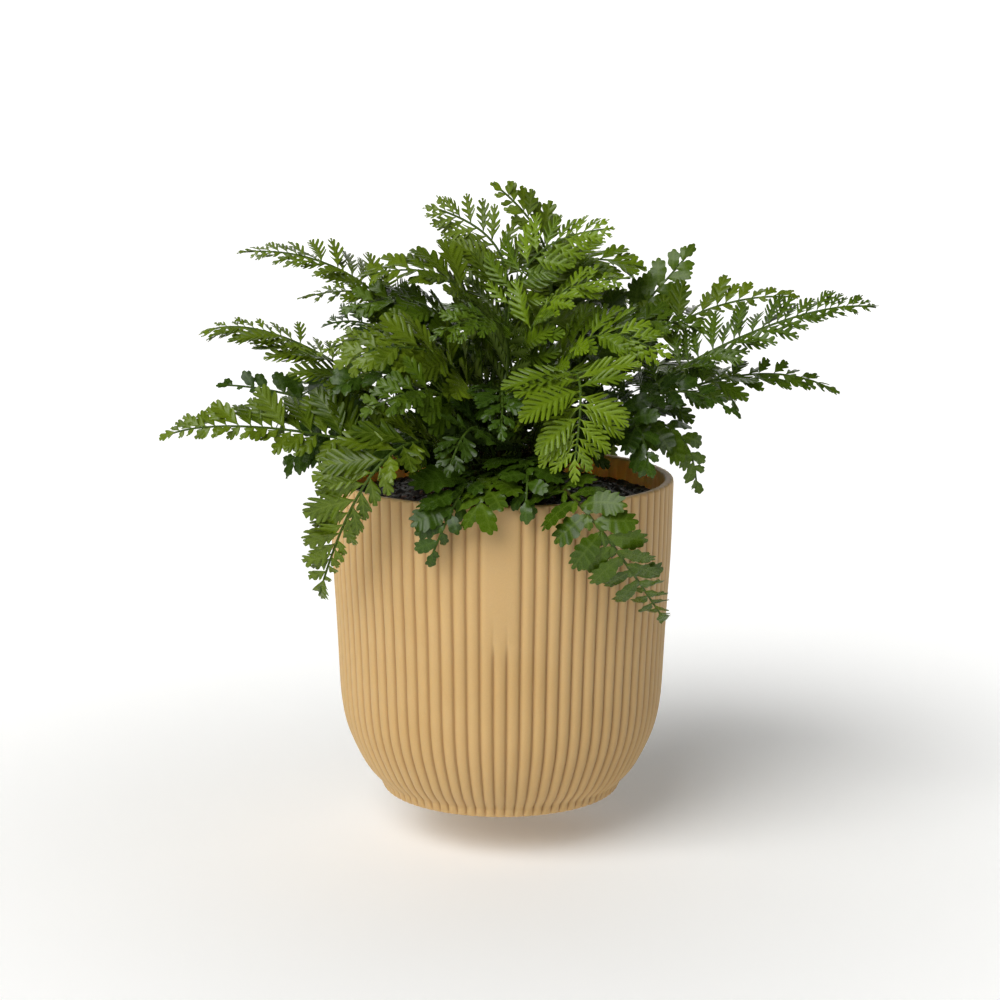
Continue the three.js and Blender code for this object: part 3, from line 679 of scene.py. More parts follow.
@dataclass
class SoilBed:
    """The soil: a crumbly top with a low mound, and the body that fills the pot below it."""

    edge: float = 120.5  # height at the pot's wall
    middle: float = 124.5
    levels: tuple[float, ...] = (4.6, 26.0, 80.0, 116.0)  # heights of the rings below the top
    gap: float = 0.6  # to the pot's wall
    rings: int = 30
    sides: int = 150
    rough: float = 0.55  # how far points stand above or below the face
    ripple: float = 0.7  # height of its slow rise and fall
    crumbs: int = 1500
    crumb_sizes: Pair = (0.7, 2.6)
    crumb_shapes: tuple[Triple, Triple] = ((0.8, 0.6, 0.4), (2.0, 1.1, 0.8))  # least and greatest stretch
    crumb_room: float = 1.2  # between a crumb's middle and the edge
    crumb_tip: float = 0.6  # radians that a crumb may tip over
    seed: int = 11

    def height(self, r: float, limit: float) -> float:
        """Height of the soil's face at a distance from the axis."""
        return self.edge + (self.middle - self.edge) * np.cos(np.clip(r / limit, 0, 1) * math.pi / 2)

    def build(self, pot: Pot) -> Made:
        """Makes the soil inside a pot, crumbs and all, as one object.

        Args:
            pot: the pot that it fills.

        Returns:
            The soil.
        """
        rng = np.random.default_rng(self.seed)
        limit = pot.inner_radius(self.edge) - self.gap
        mesh = Mesh("potting_soil")
        self._body(mesh, pot, limit, rng)
        self._crumbs(mesh, limit, rng)
        made = mesh.make([PottingSoil().make()])
        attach(made, "root")
        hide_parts("soil")
        return made

    def _body(self, mesh: Mesh, pot: Pot, limit: float, rng: Rng) -> None:
        """Adds the closed body under the crumbs."""
        angle = np.arange(self.sides) * FULL_TURN / self.sides
        rows = [(np.full(self.sides, z), pot.inner_radius(z) - self.gap) for z in self.levels]
        for r in limit * np.arange(self.rings, 0, -1) / self.rings:
            rough = rng.normal(0, self.rough, self.sides)
            rows.append((self.height(r, limit) + rough + self.ripple * np.sin(3 * angle + r / 6), r))
        rings = np.array([np.stack([r * np.cos(angle), r * np.sin(angle), z], axis=1) for z, r in rows])
        points, faces = closed_rings(rings, self.levels[0] * UP, self.middle * UP)
        mesh.add(points, faces, tint=rng.uniform(0, 0.6, len(points)))

    def _crumbs(self, mesh: Mesh, limit: float, rng: Rng) -> None:
        """Scatters crumbs and chips of bark over the top: bent bodies of twenty faces."""
        g = (1 + 5 ** 0.5) / 2
        corners = unit(np.array([[-1, g, 0], [1, g, 0], [-1, -g, 0], [1, -g, 0], [0, -1, g], [0, 1, g],
                                 [0, -1, -g], [0, 1, -g], [g, 0, -1], [g, 0, 1], [-g, 0, -1], [-g, 0, 1]]))
        faces = np.array([[0, 11, 5], [0, 5, 1], [0, 1, 7], [0, 7, 10], [0, 10, 11], [1, 5, 9], [5, 11, 4],
                          [11, 10, 2], [10, 7, 6], [7, 1, 8], [3, 9, 4], [3, 4, 2], [3, 2, 6], [3, 6, 8],
                          [3, 8, 9], [4, 9, 5], [2, 4, 11], [6, 2, 10], [8, 6, 7], [9, 8, 1]])
        rim = np.ones(len(corners), bool)
        for _ in range(self.crumbs):
            size = rng.uniform(*self.crumb_sizes) * rng.uniform(0.5, 1.0)
            r = (limit - self.crumb_room) * math.sqrt(rng.uniform())
            turn = rng.uniform(0, FULL_TURN)
            stretch = rng.uniform(*self.crumb_shapes)
            shape = corners * rng.uniform(0.7, 1.25, (len(corners), 1)) * stretch * size / 2
            yaw, tip = rng.uniform(0, FULL_TURN), rng.uniform(-self.crumb_tip, self.crumb_tip)
            c, s = math.cos(yaw), math.sin(yaw)
            flat = np.array([[c, -s, 0], [s, c, 0], [0, 0, 1]])
            c, s = math.cos(tip), math.sin(tip)
            tilt = np.array([[c, 0, s], [0, 1, 0], [-s, 0, c]])
            z = float(self.height(r, limit)) + self.ripple * math.sin(3 * turn + r / 6) + 0.2 * size
            place = [r * math.cos(turn), r * math.sin(turn), z]
            mesh.add(shape @ (flat @ tilt).T + place, [faces], rim=rim, tint=rng.uniform(0, 1))


# ---------- leaflets ----------

@dataclass(frozen=True, kw_only=True)
class Cut:
    """How one kind of leaflet is cut. Lengths are shares of the leaflet's own, unless marked."""

    pitch: float  # mm between two leaflets on one side of the stem
    lobe: float  # mm between two lobes along the rib
    least: int  # lobes on one side of the shortest leaflet
    most: int  # lobes on one side of the longest leaflet
    half: float  # greatest width of one half
    depth: float  # cut between two lobes
    tip: float  # part of the rib beyond the last lobes
    stalk: float  # bare part of the rib
    fold: float  # degrees that each half is folded up
    arch: float  # mm that a lobe's middle stands above its sides
    thickness: float  # mm
    auricle: float  # how much larger the fore half is at the stalk
    wave: float  # mm that a lobe's end stands above or below its neighbours
    close: float  # how much closer the last leaflets of a stem stand than the first
    sag: Pair = (0.35, 0.2)  # mm that its edge and its end hang below its rib
    free: float = 0.35  # distance from the rib from which on a lobe waves in full
    lobed: float = 0.86  # share of the rib that bears lobes, less one mm

    def edges(self, lobes: int, rng: Rng) -> tuple[Array, Array, Array]:
        """Draws both halves.

        Args:
            lobes: how many lobes or teeth there are on one side.
            rng: makes no two lobes quite alike.

        Returns:
            For every column of points across a half: its place on the rib, its lobe number, and
            its points half way out and at the edge, for the fore half and the back half.
        """
        raise NotImplementedError


@dataclass(frozen=True, kw_only=True)
class FingeredCut(Cut):
    """Narrow lobes like fingers, which lean forward and end on one long oval."""

    oval: float  # half the length of that oval
    first: float  # degrees along the oval where the first lobe ends
    ends: tuple[Pair, ...]  # a lobe's outline: place in its width, share of its reach
    neck: float  # how much narrower a lobe is half way out
    bow: float  # how far a lobe bends outward
    crown: float  # half the width of the end lobe
    stagger: float  # how far the back half's lobes stand before the fore half's, in lobes
    skew: float  # below 1 where the leaflet is widest near its foot
    uneven: Pair = (-0.2, 0.06)  # least and greatest change of a lobe's reach
    sway: float = 0.14  # how far a lobe's end strays along the oval, in lobes
    notch: Triple = (0.16, 0.6, 0.16)  # deepest in a lobe's end, share of lobes with one, half its width
    bare: Pair = (0.007, 0.014)  # width of a half beside the stalk, half way out and at the edge
    web: float = 0.12  # reach of the first lobe's hind corner
    shallower: float = 0.25  # share of the cuts' depth that is lost towards the tip

    def edges(self, lobes: int, rng: Rng) -> tuple[Array, Array, Array]:
        """Draws both halves, as in Cut."""
        count = lobes + 0.5
        step = (1 - self.tip - self.stalk) / count
        middle = (self.ends[1][0] + self.ends[-1][0]) / 2
        ribs, numbers = [0.0, 0.8 * self.stalk], [-0.5, -0.2]
        halves = [[[(x, y) for y in self.bare] for x in ribs] for _ in range(2)]
        deepest, often, wide = self.notch
        for i in range(lobes + 1):
            own = (i < lobes) * 1.0
            sizes = 1 + own * rng.uniform(*self.uneven, 2)
            lead = np.array([-0.5, 0.5]) * self.stagger * (1 - i / count)
            shifts = own * (rng.normal(0, self.sway, 2) + lead)
            notches = own * rng.uniform(0.0, deepest, 2) * (rng.uniform(size=2) < often)
            sizes[0] *= self.auricle if i == 0 else 1
            kept = 1 - self.depth * (1 - self.shallower * i / count)
            for f, out in self.ends:
                if i == lobes and f > 0.5:
                    break
                rib = self.stalk + step * (i + f)
                ribs.append(rib)
                numbers.append(i + f)
                for half in (0, 1):
                    turn = math.radians(self.first + (180 - self.first) * (i + f + shifts[half]) / count)
                    swell = math.sin(math.pi * (turn / math.pi) ** self.skew)
                    far = np.array([1 - self.oval - self.oval * math.cos(turn) - rib,
                                    self.crown + (self.half - self.crown) * swell])
                    dent = notches[half] * max(0.0, 1 - abs(f - middle) / wide)
                    share = kept + (1 - kept) * (out - dent) * sizes[half]
                    if i == 0 and f < 0.2:
                        share = self.web
                    halves[half].append(self._column(rib, far * share, step * (f - middle)))
        return np.array(ribs), np.array(numbers), np.array(halves)

    def _column(self, rib: float, far: Array, off: float) -> list[Pair]:
        """Points half way out and at the edge of one column, off so far from its lobe's middle."""
        length = math.hypot(*far) + 1e-9
        across = np.array([far[1], -far[0]]) / length
        half = 0.5 * far - across * off * self.neck * far[1] / length + np.array([self.bow * length, 0])
        return [(rib + half[0], max(0.004, half[1])), (rib + far[0], max(0.008, far[1]))]


@dataclass(frozen=True, kw_only=True)
class ScallopedCut(Cut):
    """An egg-shaped leaflet on a wedge base, with round teeth round its end."""

    bare: float = 0.2  # share of the outline before the first tooth
    widths: Pair = (0.92, 1.06)  # least and greatest chance width of a half
    depths: Pair = (0.75, 1.2)  # least and greatest chance depth of its cuts

    def edges(self, lobes: int, rng: Rng) -> tuple[Array, Array, Array]:
        """Draws both halves, as in Cut."""
        steps = 5 * lobes + 5
        s = np.arange(steps) / steps
        ribs = self.stalk + (1 - self.tip - self.stalk) * s ** 1.1
        turns = np.maximum(0, (s - self.bare) / (1 - self.bare)) * (lobes + 0.5)
        halves = []
        for half in (0, 1):
            width = self.half * rng.uniform(*self.widths) * (1 if half else self.auricle)
            x = 0.5 - 0.5 * np.cos(math.pi * s)
            y = width * np.sin(math.pi * s) ** 0.9 * (0.82 + 0.4 * x) * np.clip(x / 0.3, 0, 1) ** 0.5
            deep = self.depth * (1.25 if half else 0.8) * rng.uniform(*self.depths)
            dent = deep * (1 - np.abs(np.sin(math.pi * turns)) ** 0.7) * (s > self.bare)
            x, y = 0.5 + (x - 0.5) * (1 - dent), np.maximum(0.012, y * (1 - dent))
            edge = np.stack([np.maximum(x, ribs - 0.1), y], axis=1)
            middle = (edge + np.stack([ribs, np.zeros(steps)], axis=1)) / 2
            halves.append(np.stack([middle, edge], axis=1))
        return ribs, turns - 0.5, np.array(halves)


class Form(Enum):
    """The three leaf forms that one fern carries at once."""

    FINE = FingeredCut(
        pitch=6.4, lobe=2.7, least=2, most=9, half=0.22, depth=0.8, tip=0.1, stalk=0.02, fold=20, arch=0.3,
        thickness=0.34, auricle=1.1, oval=0.37, first=27, neck=0.3, bow=0.02, crown=0.03,
        stagger=0.5, wave=0.5, close=0.58, skew=0.84,
        ends=((0, 0), (0.3, 0), (0.37, 0.7), (0.48, 0.94), (0.64, 1.0), (0.84, 0.95), (0.97, 0.68)))
    LOBED = FingeredCut(
        pitch=7.6, lobe=3.5, least=1, most=6, half=0.27, depth=0.54, tip=0.12, stalk=0.02, fold=14, arch=0.4,
        thickness=0.4, auricle=1.1, oval=0.36, first=34, neck=0.25, bow=0.02, crown=0.055,
        stagger=0.4, wave=0.7, close=0.5, skew=0.92,
        ends=((0, 0), (0.1, 0), (0.2, 0.5), (0.31, 0.84), (0.44, 0.98), (0.58, 1.0), (0.72, 0.96),
              (0.85, 0.8), (0.95, 0.45)))
    BROAD = ScallopedCut(
        pitch=9.2, lobe=3.2, least=2, most=5, half=0.26, depth=0.28, tip=0.08, stalk=0.06, fold=8, arch=0.55,
        thickness=0.42, auricle=1.1, wave=0.5, close=0.32)


@dataclass(frozen=True)
class Blade:
    """A leaflet's flat pattern, drawn at length 1, and the way from it to a closed leaf."""

    flat: Array  # along the rib, across it
    relief: Array  # mm out of the face
    veining: Array  # lobe number, distance from the rib, nearness to the edge
    thick: Array  # share of the full thickness
    faces: Array
    rim: Array  # which points lie on the edge
    share: Array  # which faces meet at a point

    def surfaces(self, root: Array, rib: Array, wide: Array, face: Array, length: float, droop: float,
                 curl: float, twist: float, fold: float) -> Array:
        """Bends the pattern into a leaflet's middle face, once for each way that it may point.

        Args:
            root: where it grows.
            rib: its direction, one row a way.
            wide: the direction across it.
            face: the direction that its upper side looks in.
            length: in millimetres.
            droop: fall of its tip as a share of its length.
            curl: radians that its rib bends towards the stem's tip.
            twist: radians that its tip is turned about its rib.
            fold: radians that each half is folded up.

        Returns:
            Points by way and pattern point.
        """
        x, y = self.flat.T
        curl += 1e-5
        along = np.sin(curl * x) / curl - y * np.sin(curl * x)
        across = (1 - np.cos(curl * x)) / curl + y * np.cos(curl * x)
        out = -droop * x ** 2 + math.tan(fold) * np.abs(y) + np.tan(twist * x) * y
        out = out * length + self.relief * min(1, length / 15)
        return (root + rib[:, None] * (length * along)[:, None] + wide[:, None] * (length * across)[:, None]
                + face[:, None] * out[:, None])

    def closed(self, surface: Array, thickness: float) -> tuple[Array, Array]:
        """Thickens a middle face into a closed leaf that is thinnest at its edge.

        Args:
            surface: its points.
            thickness: of the middle of the leaf, in millimetres.

        Returns:
            The leaf's points, with the pattern's first and then those of the second side that
            aren't on the edge, and its faces.
        """
        p = surface[self.faces]
        normal = np.cross(p[:, 2] - p[:, 0], p[:, 3] - p[:, 1])
        normal = unit(np.einsum("km,mc->kc", self.share, normal))
        half = (self.thick * thickness / 2 * ~self.rim)[:, None]
        below = np.where(self.rim, np.arange(len(self.rim)), len(self.rim) + np.cumsum(~self.rim) - 1)
        return (np.concatenate([surface + normal * half, (surface - normal * half)[~self.rim]]),
                np.vstack([self.faces, below[self.faces[:, ::-1]]]))


@lru_cache(maxsize=None)
def blade_pattern(form: Form, lobes: int, variant: int) -> Blade:
    """Draws the flat pattern of a leaflet.

    Args:
        form: its kind of cut.
        lobes: how many lobes or teeth it has on one side.
        variant: which of several drawings.

    Returns:
        The pattern, the same for the same arguments.
    """
    cut = form.value
    rng = np.random.default_rng(1000 * lobes + 10 * variant + len(form.name))
    ribs, numbers, edges = cut.edges(lobes, rng)
    waves = rng.normal(0, cut.wave, (2, lobes + 2))
    count, last = len(ribs), lobes + 0.5
    edge_sag, end_sag = cut.sag
    outward = ((1, 0.5, 0.625), (2, 1.0, 0.25))  # column, share of the way out, share of the thickness there
    rows = [(x, 0, 0, c, 0, 0, 1) for x, c in zip([*ribs, 1 - cut.tip], [*numbers, last])]
    index = np.zeros((2, count + 1, 3), int)
    index[:, :, 0] = np.arange(count + 1)
    for half, sign in enumerate((1, -1)):
        for k, c in enumerate(numbers):
            for j, w, thick in outward:
                x, y = edges[half, k, j - 1]
                index[half, k, j] = len(rows)
                arch = 4 * (c % 1) * (1 - c % 1) - 0.5 if c >= 0 else 0
                off = math.hypot(x - ribs[k], y)
                wave = waves[half, int(c + 1)] * min(1.0, off / cut.free) ** 1.5
                rows.append((x, sign * y, cut.arch * w * arch - edge_sag * w * w + wave,
                             c, off, w * min(1.0, 3 * y), thick))
    for j, w, thick in outward:
        index[:, count, j] = len(rows)
        rows.append((1 - cut.tip + cut.tip * w, 0, -end_sag * w * w, last, 0, w, thick))
    quads = np.stack([index[:, :-1, :-1], index[:, 1:, :-1], index[:, 1:, 1:], index[:, :-1, 1:]], axis=-1)
    quads = np.concatenate([quads[0], quads[1, ..., ::-1]]).reshape(-1, 4)
    rim = np.zeros(len(rows), bool)
    rim[index[:, :, 2]] = rim[index[:, 0]] = True
    share = np.zeros((len(rows), len(quads)))
    share[quads.T, np.arange(len(quads))] = 1
    table = np.array(rows, float)
    return Blade(table[:, :2], table[:, 2], table[:, 3:6], table[:, 6], quads, rim, share)


# ---------- fronds ----------

@dataclass(frozen=True)
class FrondPlan:
    """One frond's path, habit and green."""

    name: str
    form: Form
    tone: Tone
    crest: Point  # a point of its stem, most often the highest
    tip: Point
    reach: float  # length of its longest leaflets
    start: float  # where its blade starts along the stem
    roll: float  # degrees that its blade is turned about the stem
    splay: float = 70.0  # degrees between the first leaflets and the stem
    bias: float = 0.0  # how much longer than the mean the leaflets of its one side are
    taper: float = 1.7  # low where they shrink early towards the tip
    end: float = 0.36  # the leaflet at its tip, as a share of the longest
    slant: float = 0.0  # degrees that the leaflets of its one side lean forward, and the others back
    spread: float = 1.0  # how far apart its leaflets stand, as a share of its form's pitch
    early: float = 0.3  # share of the stem that small leaflets stand on below the blade proper


@dataclass
class Room:
    """Remembers which small cubes of the air hold leaves, and of which frond."""

    cell: float = 2.0
    side: int = 4096  # cubes along a side of the room
    held: dict[int, int] = field(default_factory=dict)

    def keys(self, points: Array) -> Array:
        """Numbers of the cubes that points lie in."""
        i = np.floor(points / self.cell).astype(np.int64) + self.side // 2
        return (i[..., 0] * self.side + i[..., 1]) * self.side + i[..., 2]

    def clashes(self, keys: list[int], owner: int) -> int:
        """How many of the cubes another frond holds."""
        held = self.held
        return sum(held.get(key, owner) != owner for key in keys)

    def take(self, keys: list[int], owner: int) -> None:
        """Gives the cubes that are still free to a frond."""
        for key in keys:
            self.held.setdefault(key, owner)


@dataclass
class Frond:
    """One frond: its stem, its leaflets by turns left and right, and a few scales at its foot."""

    plan: FrondPlan
    number: int
    room: Room
    width: Pair = (1.7, 0.8)  # of the stem, at its foot and its tip
    depth: Pair = (1.2, 0.6)
    groove: float = 0.35
    step: float = 2.6  # between two rings of the stem
    buried: float = 7.0
    straight: float = 1.5  # of the stem above the soil
    first_bend: Pair = (0.2, 0.62)  # how far out and up to the crest the stem's first bend lies
    least_rise: float = 26.0  # of the crest over the foot, for that bend
    crown_room: float = 32.0  # radius that holds the feet of all the model's fronds
    brown: Pair = (0.28, 0.75)  # share of the stem that is brown, and the same on broad fronds
    lean: float = 40.0  # degrees between the last leaflets and the stem
    swell: Triple = (0.78, 1.1, 0.62)  # leaflets' length at the blade's start, its growth, and the least
    shrink: float = 0.82  # share of their length that is lost towards the tip
    stray: Triple = (0.7, 6.0, 12.0)  # of a leaflet: mm along the stem, degrees along it, and up or down
    sizes: Pair = (0.88, 1.1)  # least and greatest chance size of a leaflet
    droops: Pair = (0.04, 0.26)
    curls: Pair = (0.05, 0.4)
    twists: Pair = (-0.55, 0.55)
    end_room: float = 0.8  # share of the leaflet at the tip below which the others end
    end_gap: float = 0.012  # share of the stem between it and the last of them
    end_lead: float = 0.02  # radians between it and the stem
    perch: float = 0.45  # height of a leaflet's foot over the stem's middle
    lifts: tuple[float, ...] = (0, 9, -9, 18, -18, 28, -28)  # degrees that a leaflet may be lifted by
    youth: Triple = (0.12, 0.4, 0.5)  # how pale leaflets are at the blade's start, the growth, and the last
    with_lobe: Pair = (11.5, 0.3)  # least length and lead of a broad leaflet with a lobe beside the stem
    side_lobe: Pair = (0.36, 0.42)  # that lobe's length and lead, as shares of its leaflet's
    clear: Pair = (131.5, 71.0)  # height and radius of the room that pot and soil need
    tints: Pair = (0.0, 0.55)  # least and greatest chance paleness
    scales: int = 9
    scaly: float = 0.16  # share of the stem that holds the scales

    def __post_init__(self) -> None:
        """Lays the stem's curve from its seat in the soil over its crest to its tip."""
        self.rng = np.random.default_rng(500 + self.number)
        root = self.root = self.seat()
        crest, tip = np.array(self.plan.crest, float), np.array(self.plan.tip, float)
        out, up = self.first_bend
        rise = root + out * (crest - root)
        rise[2] = root[2] + up * max(crest[2] - root[2], self.least_rise)
        inner, outer = np.linalg.norm(crest - root), np.linalg.norm(tip - crest)
        t = inner / (inner + outer)
        s = 1 - t
        bow = (crest - s ** 3 * root - 3 * s * s * t * rise - t ** 3 * tip) / (3 * s * t * t)
        self.corners = np.array([root, rise, bow, tip])
        self.across = unit(np.array([root[1] - tip[1], tip[0] - root[0], 0.0]))
        self.steps = np.linspace(0, 1, 201)
        run = np.linalg.norm(np.diff(self.at(self.steps), axis=0), axis=1)
        self.run = np.concatenate([[0], np.cumsum(run)])
        self.length = float(self.run[-1])

    def seat(self) -> Array:
        """Where the stem leaves the soil, read from the foot of the model's frond."""
        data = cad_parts["frond_" + self.plan.name].data
        flat = np.empty(len(data.vertices) * 3, np.float32)
        data.vertices.foreach_get("co", flat)
        points = flat.reshape(-1, 3).astype(float) / MM
        near = points[np.hypot(points[:, 0], points[:, 1]) < self.crown_room]
        foot = near[near[:, 2] < near[:, 2].min() + 0.1]
        return np.unique(np.round(foot, 2), axis=0).mean(axis=0) + UP * (self.buried + self.straight)

    def at(self, t: Array) -> Array:
        """Points of the curve at its own parameter."""
        t = t[:, None]
        s = 1 - t
        a, b, c, d = self.corners
        return s ** 3 * a + 3 * s * s * t * b + 3 * s * t * t * c + t ** 3 * d

    def frames(self, shares: Array) -> tuple[Array, Array, Array, Array]:
        """Place, direction, side and face of the stem.

        Args:
            shares: how far along the stem, from 0 to 1.

        Returns:
            Points and three unit directions, one row a share.
        """
        t = np.interp(shares * self.length, self.run, self.steps)
        a, b, c, d = self.corners
        w = t[:, None]
        s = 1 - w
        along = unit(3 * s * s * (b - a) + 6 * s * w * (c - b) + 3 * w * w * (d - c))
        side = unit(self.across - along * (along @ self.across)[:, None])
        face = np.cross(along, side)
        turn = (math.radians(self.plan.roll) * np.minimum(1, shares / self.plan.start))[:, None]
        return (self.at(t), along, side * np.cos(turn) + face * np.sin(turn),
                face * np.cos(turn) - side * np.sin(turn))

    def stations(self) -> Array:
        """Where leaflets leave the stem: closer together towards the tip."""
        plan, cut = self.plan, self.plan.form.value
        last = 1 - self.end_room * plan.end * plan.reach / self.length
        shares = []
        u = plan.start - plan.early
        while u < last:
            shares.append(u + self.rng.normal(0, self.stray[0]) / self.length)
            s = max(0.0, (u - plan.start) / (1 - plan.start))
            u += plan.spread * cut.pitch * (1 - cut.close * s) / 2 / self.length
        return np.array(shares)

    def build(self, leaf: Material, stalk: Material, scales: Material) -> Made:
        """Makes the frond as one object.

        Args:
            leaf: the leaf finish of its tone.
            stalk: the stem's finish.
            scales: the finish of the scales at its foot.

        Returns:
            The frond.
        """
        mesh = Mesh("fern_" + self.plan.name)
        self._stem(mesh)
        self._leaflets(mesh)
        self._scales(mesh)
        made = mesh.make([leaf, stalk, scales])
        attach(made, "root")
        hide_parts("frond_" + self.plan.name)
        f"leaf_{self.plan.form.name.lower()}"
        return made

    def _stem(self, mesh: Mesh) -> None:
        """Adds the stem, from its buried foot to the blade's tip."""
        shares = np.linspace(0, 1, max(12, int(self.length / self.step)))
        line, _, side, face = self.frames(shares)
        line = np.vstack([self.root - UP * (self.buried + self.straight), line])
        side, face = np.vstack([side[:1], side]), np.vstack([face[:1], face])
        run = np.concatenate([[0], shares])
        widths, depths = (first + (last - first) * run for first, last in (self.width, self.depth))
        points, faces = tube(line, side, face, widths, depths, 8, self.groove)
        age = np.clip(run / self.brown[self.plan.form is Form.BROAD], 0, 1) ** 1.8
        mesh.add(points, faces, 1, age=np.concatenate([np.repeat(age, 8), [0, age[-1]]]))

    def _leaflets(self, mesh: Mesh) -> None:
        """Adds all leaflets, by turns right and left, and the one at the tip."""
        plan, rng = self.plan, self.rng
        shares = self.stations()
        frames = zip(*self.frames(shares))
        s = (shares - plan.start) / (1 - plan.start)
        first, growth, least = self.swell
        lengths = plan.reach * np.clip(first + growth * s, least, 1)
        lengths = lengths * (1 - self.shrink * np.maximum(s, 0) ** plan.taper)
        young, growth, last = self.youth
        for k, (stem, u, length) in enumerate(zip(frames, s, lengths)):
            hand = 1 if k % 2 else -1
            length = length * rng.uniform(*self.sizes) * (1 + plan.bias * hand)
            slant = hand * plan.slant * (1 - max(0.0, u))
            splay = plan.splay + (self.lean - plan.splay) * u - slant
            lead = math.radians(splay + rng.normal(0, self.stray[1]))
            self._place(mesh, stem, hand, length, lead, young + growth * max(0.0, u))
        beyond = tuple(row[0] for row in self.frames(shares[-1:] + self.end_gap))
        self._place(mesh, beyond, -1, plan.reach * plan.end, self.end_lead, last)

    def _place(self, mesh: Mesh, stem: tuple[Array, ...], hand: int, length: float, lead: float,
               youth: float) -> None:
        """Adds one leaflet, lifted or lowered to the freest place.

        Args:
            mesh: what it is added to.
            stem: point, direction, side and face of the stem there, as in frames.
            hand: 1 for the stem's own side direction, -1 for the other.
            length: in millimetres.
            lead: radians between the stem and the leaflet.
            youth: how pale it is; more so near the stem's tip.
        """
        at, along, side, face = stem
        form, rng = self.plan.form, self.rng
        cut = form.value
        lobes = int(np.clip(round((cut.lobed * length - 1) / cut.lobe), cut.least, cut.most))
        blade = blade_pattern(form, lobes, int(rng.integers(5)))
        lifts = np.radians(np.array(self.lifts) + rng.normal(0, self.stray[2])) * hand
        rise, level = np.sin(lifts)[:, None], np.cos(lifts)[:, None]
        wing = hand * side * level + hand * np.cross(along, side) * rise
        out = face * level + np.cross(along, face) * rise
        surfaces = blade.surfaces(
            at + self.perch * face, wing * math.sin(lead) + along * math.cos(lead),
            along * math.sin(lead) - wing * math.cos(lead), out, length, rng.uniform(*self.droops),
            rng.uniform(*self.curls), rng.uniform(*self.twists), math.radians(cut.fold))
        keys = self.room.keys(surfaces)
        best = min(range(len(lifts)), key=lambda i: self._cost(keys[i], surfaces[i]))
        self.room.take(keys[best].tolist(), self.number)
        points, faces = blade.closed(surfaces[best], cut.thickness)
        source = np.concatenate([np.arange(len(blade.rim)), np.flatnonzero(~blade.rim)])
        second = np.arange(len(source)) >= len(blade.rim)
        mesh.add(points, [faces], 0, blade.rim[source],
                 tint=youth + rng.uniform(*self.tints),
                 under=np.where(blade.rim[source], 0.5, second if hand < 0 else ~second),
                 veining=blade.veining[source] * np.array([1, length, 1]))
        if form is Form.BROAD and length > self.with_lobe[0] and lead > self.with_lobe[1]:
            self._place(mesh, stem, hand, self.side_lobe[0] * length, lead * self.side_lobe[1], youth)

    def _cost(self, keys: Array, points: Array) -> float:
        """How badly a leaflet would stand: in others, in the pot or in the soil."""
        height, radius = self.clear
        sunk = (points[:, 2] < height) & (np.hypot(points[:, 0], points[:, 1]) < radius)
        return self.room.clashes(keys.tolist(), self.number) + 3.0 * float(sunk.sum())

    def _scales(self, mesh: Mesh) -> None:
        """Adds a few papery scales round the foot of the stem."""
        rng = self.rng
        for at, along, side, face in zip(*self.frames(rng.uniform(0.0, self.scaly, self.scales))):
            turn = rng.uniform(0, FULL_TURN)
            out = side * math.cos(turn) + face * math.sin(turn)
            add_scale(mesh, at + out * 0.5, unit(along + 0.45 * out), out, rng.uniform(1.6, 3.2),
                      rng.uniform(0, 0.7), 2)


def add_scale(mesh: Mesh, root: Array, rib: Array, out: Array, length: float, tint: float,
              finish: int) -> None:
    """Adds one papery scale: a narrow closed blade with a long point.

    Args:
        mesh: what it is added to.
        root: where it grows.
        rib: its direction.
        out: the way that its outer side looks.
        length: in millimetres.
        tint: how pale it is, from 0 to 1.
        finish: the number of its material.
    """
    wide = unit(np.cross(rib, out))
    face = np.cross(wide, rib)
    half, thick = 0.17 * length * wide, 0.12 * face
    middle = root + rib * 0.4 * length
    points = np.array([root - half * 0.5, root + half * 0.5, middle - half, middle + half,
                       middle + thick, middle - thick, root + rib * length + face * 0.1 * length])
    faces = np.array([[0, 1, 4], [0, 4, 2], [1, 3, 4], [2, 4, 6], [4, 3, 6],
                      [1, 0, 5], [0, 2, 5], [3, 1, 5], [5, 2, 6], [3, 5, 6]])
    mesh.add(points, [faces], finish, tint=tint)


# ---------- crown ----------

@dataclass(frozen=True)
class Coil:
    """A young frond that is still curled up."""

    neck: float  # height where its coil starts
    radius: float  # of the coil
    stalk: float  # half the stalk's width
    lean: Pair  # where the neck stands, across and back
    foot: Pair  # where the stalk starts


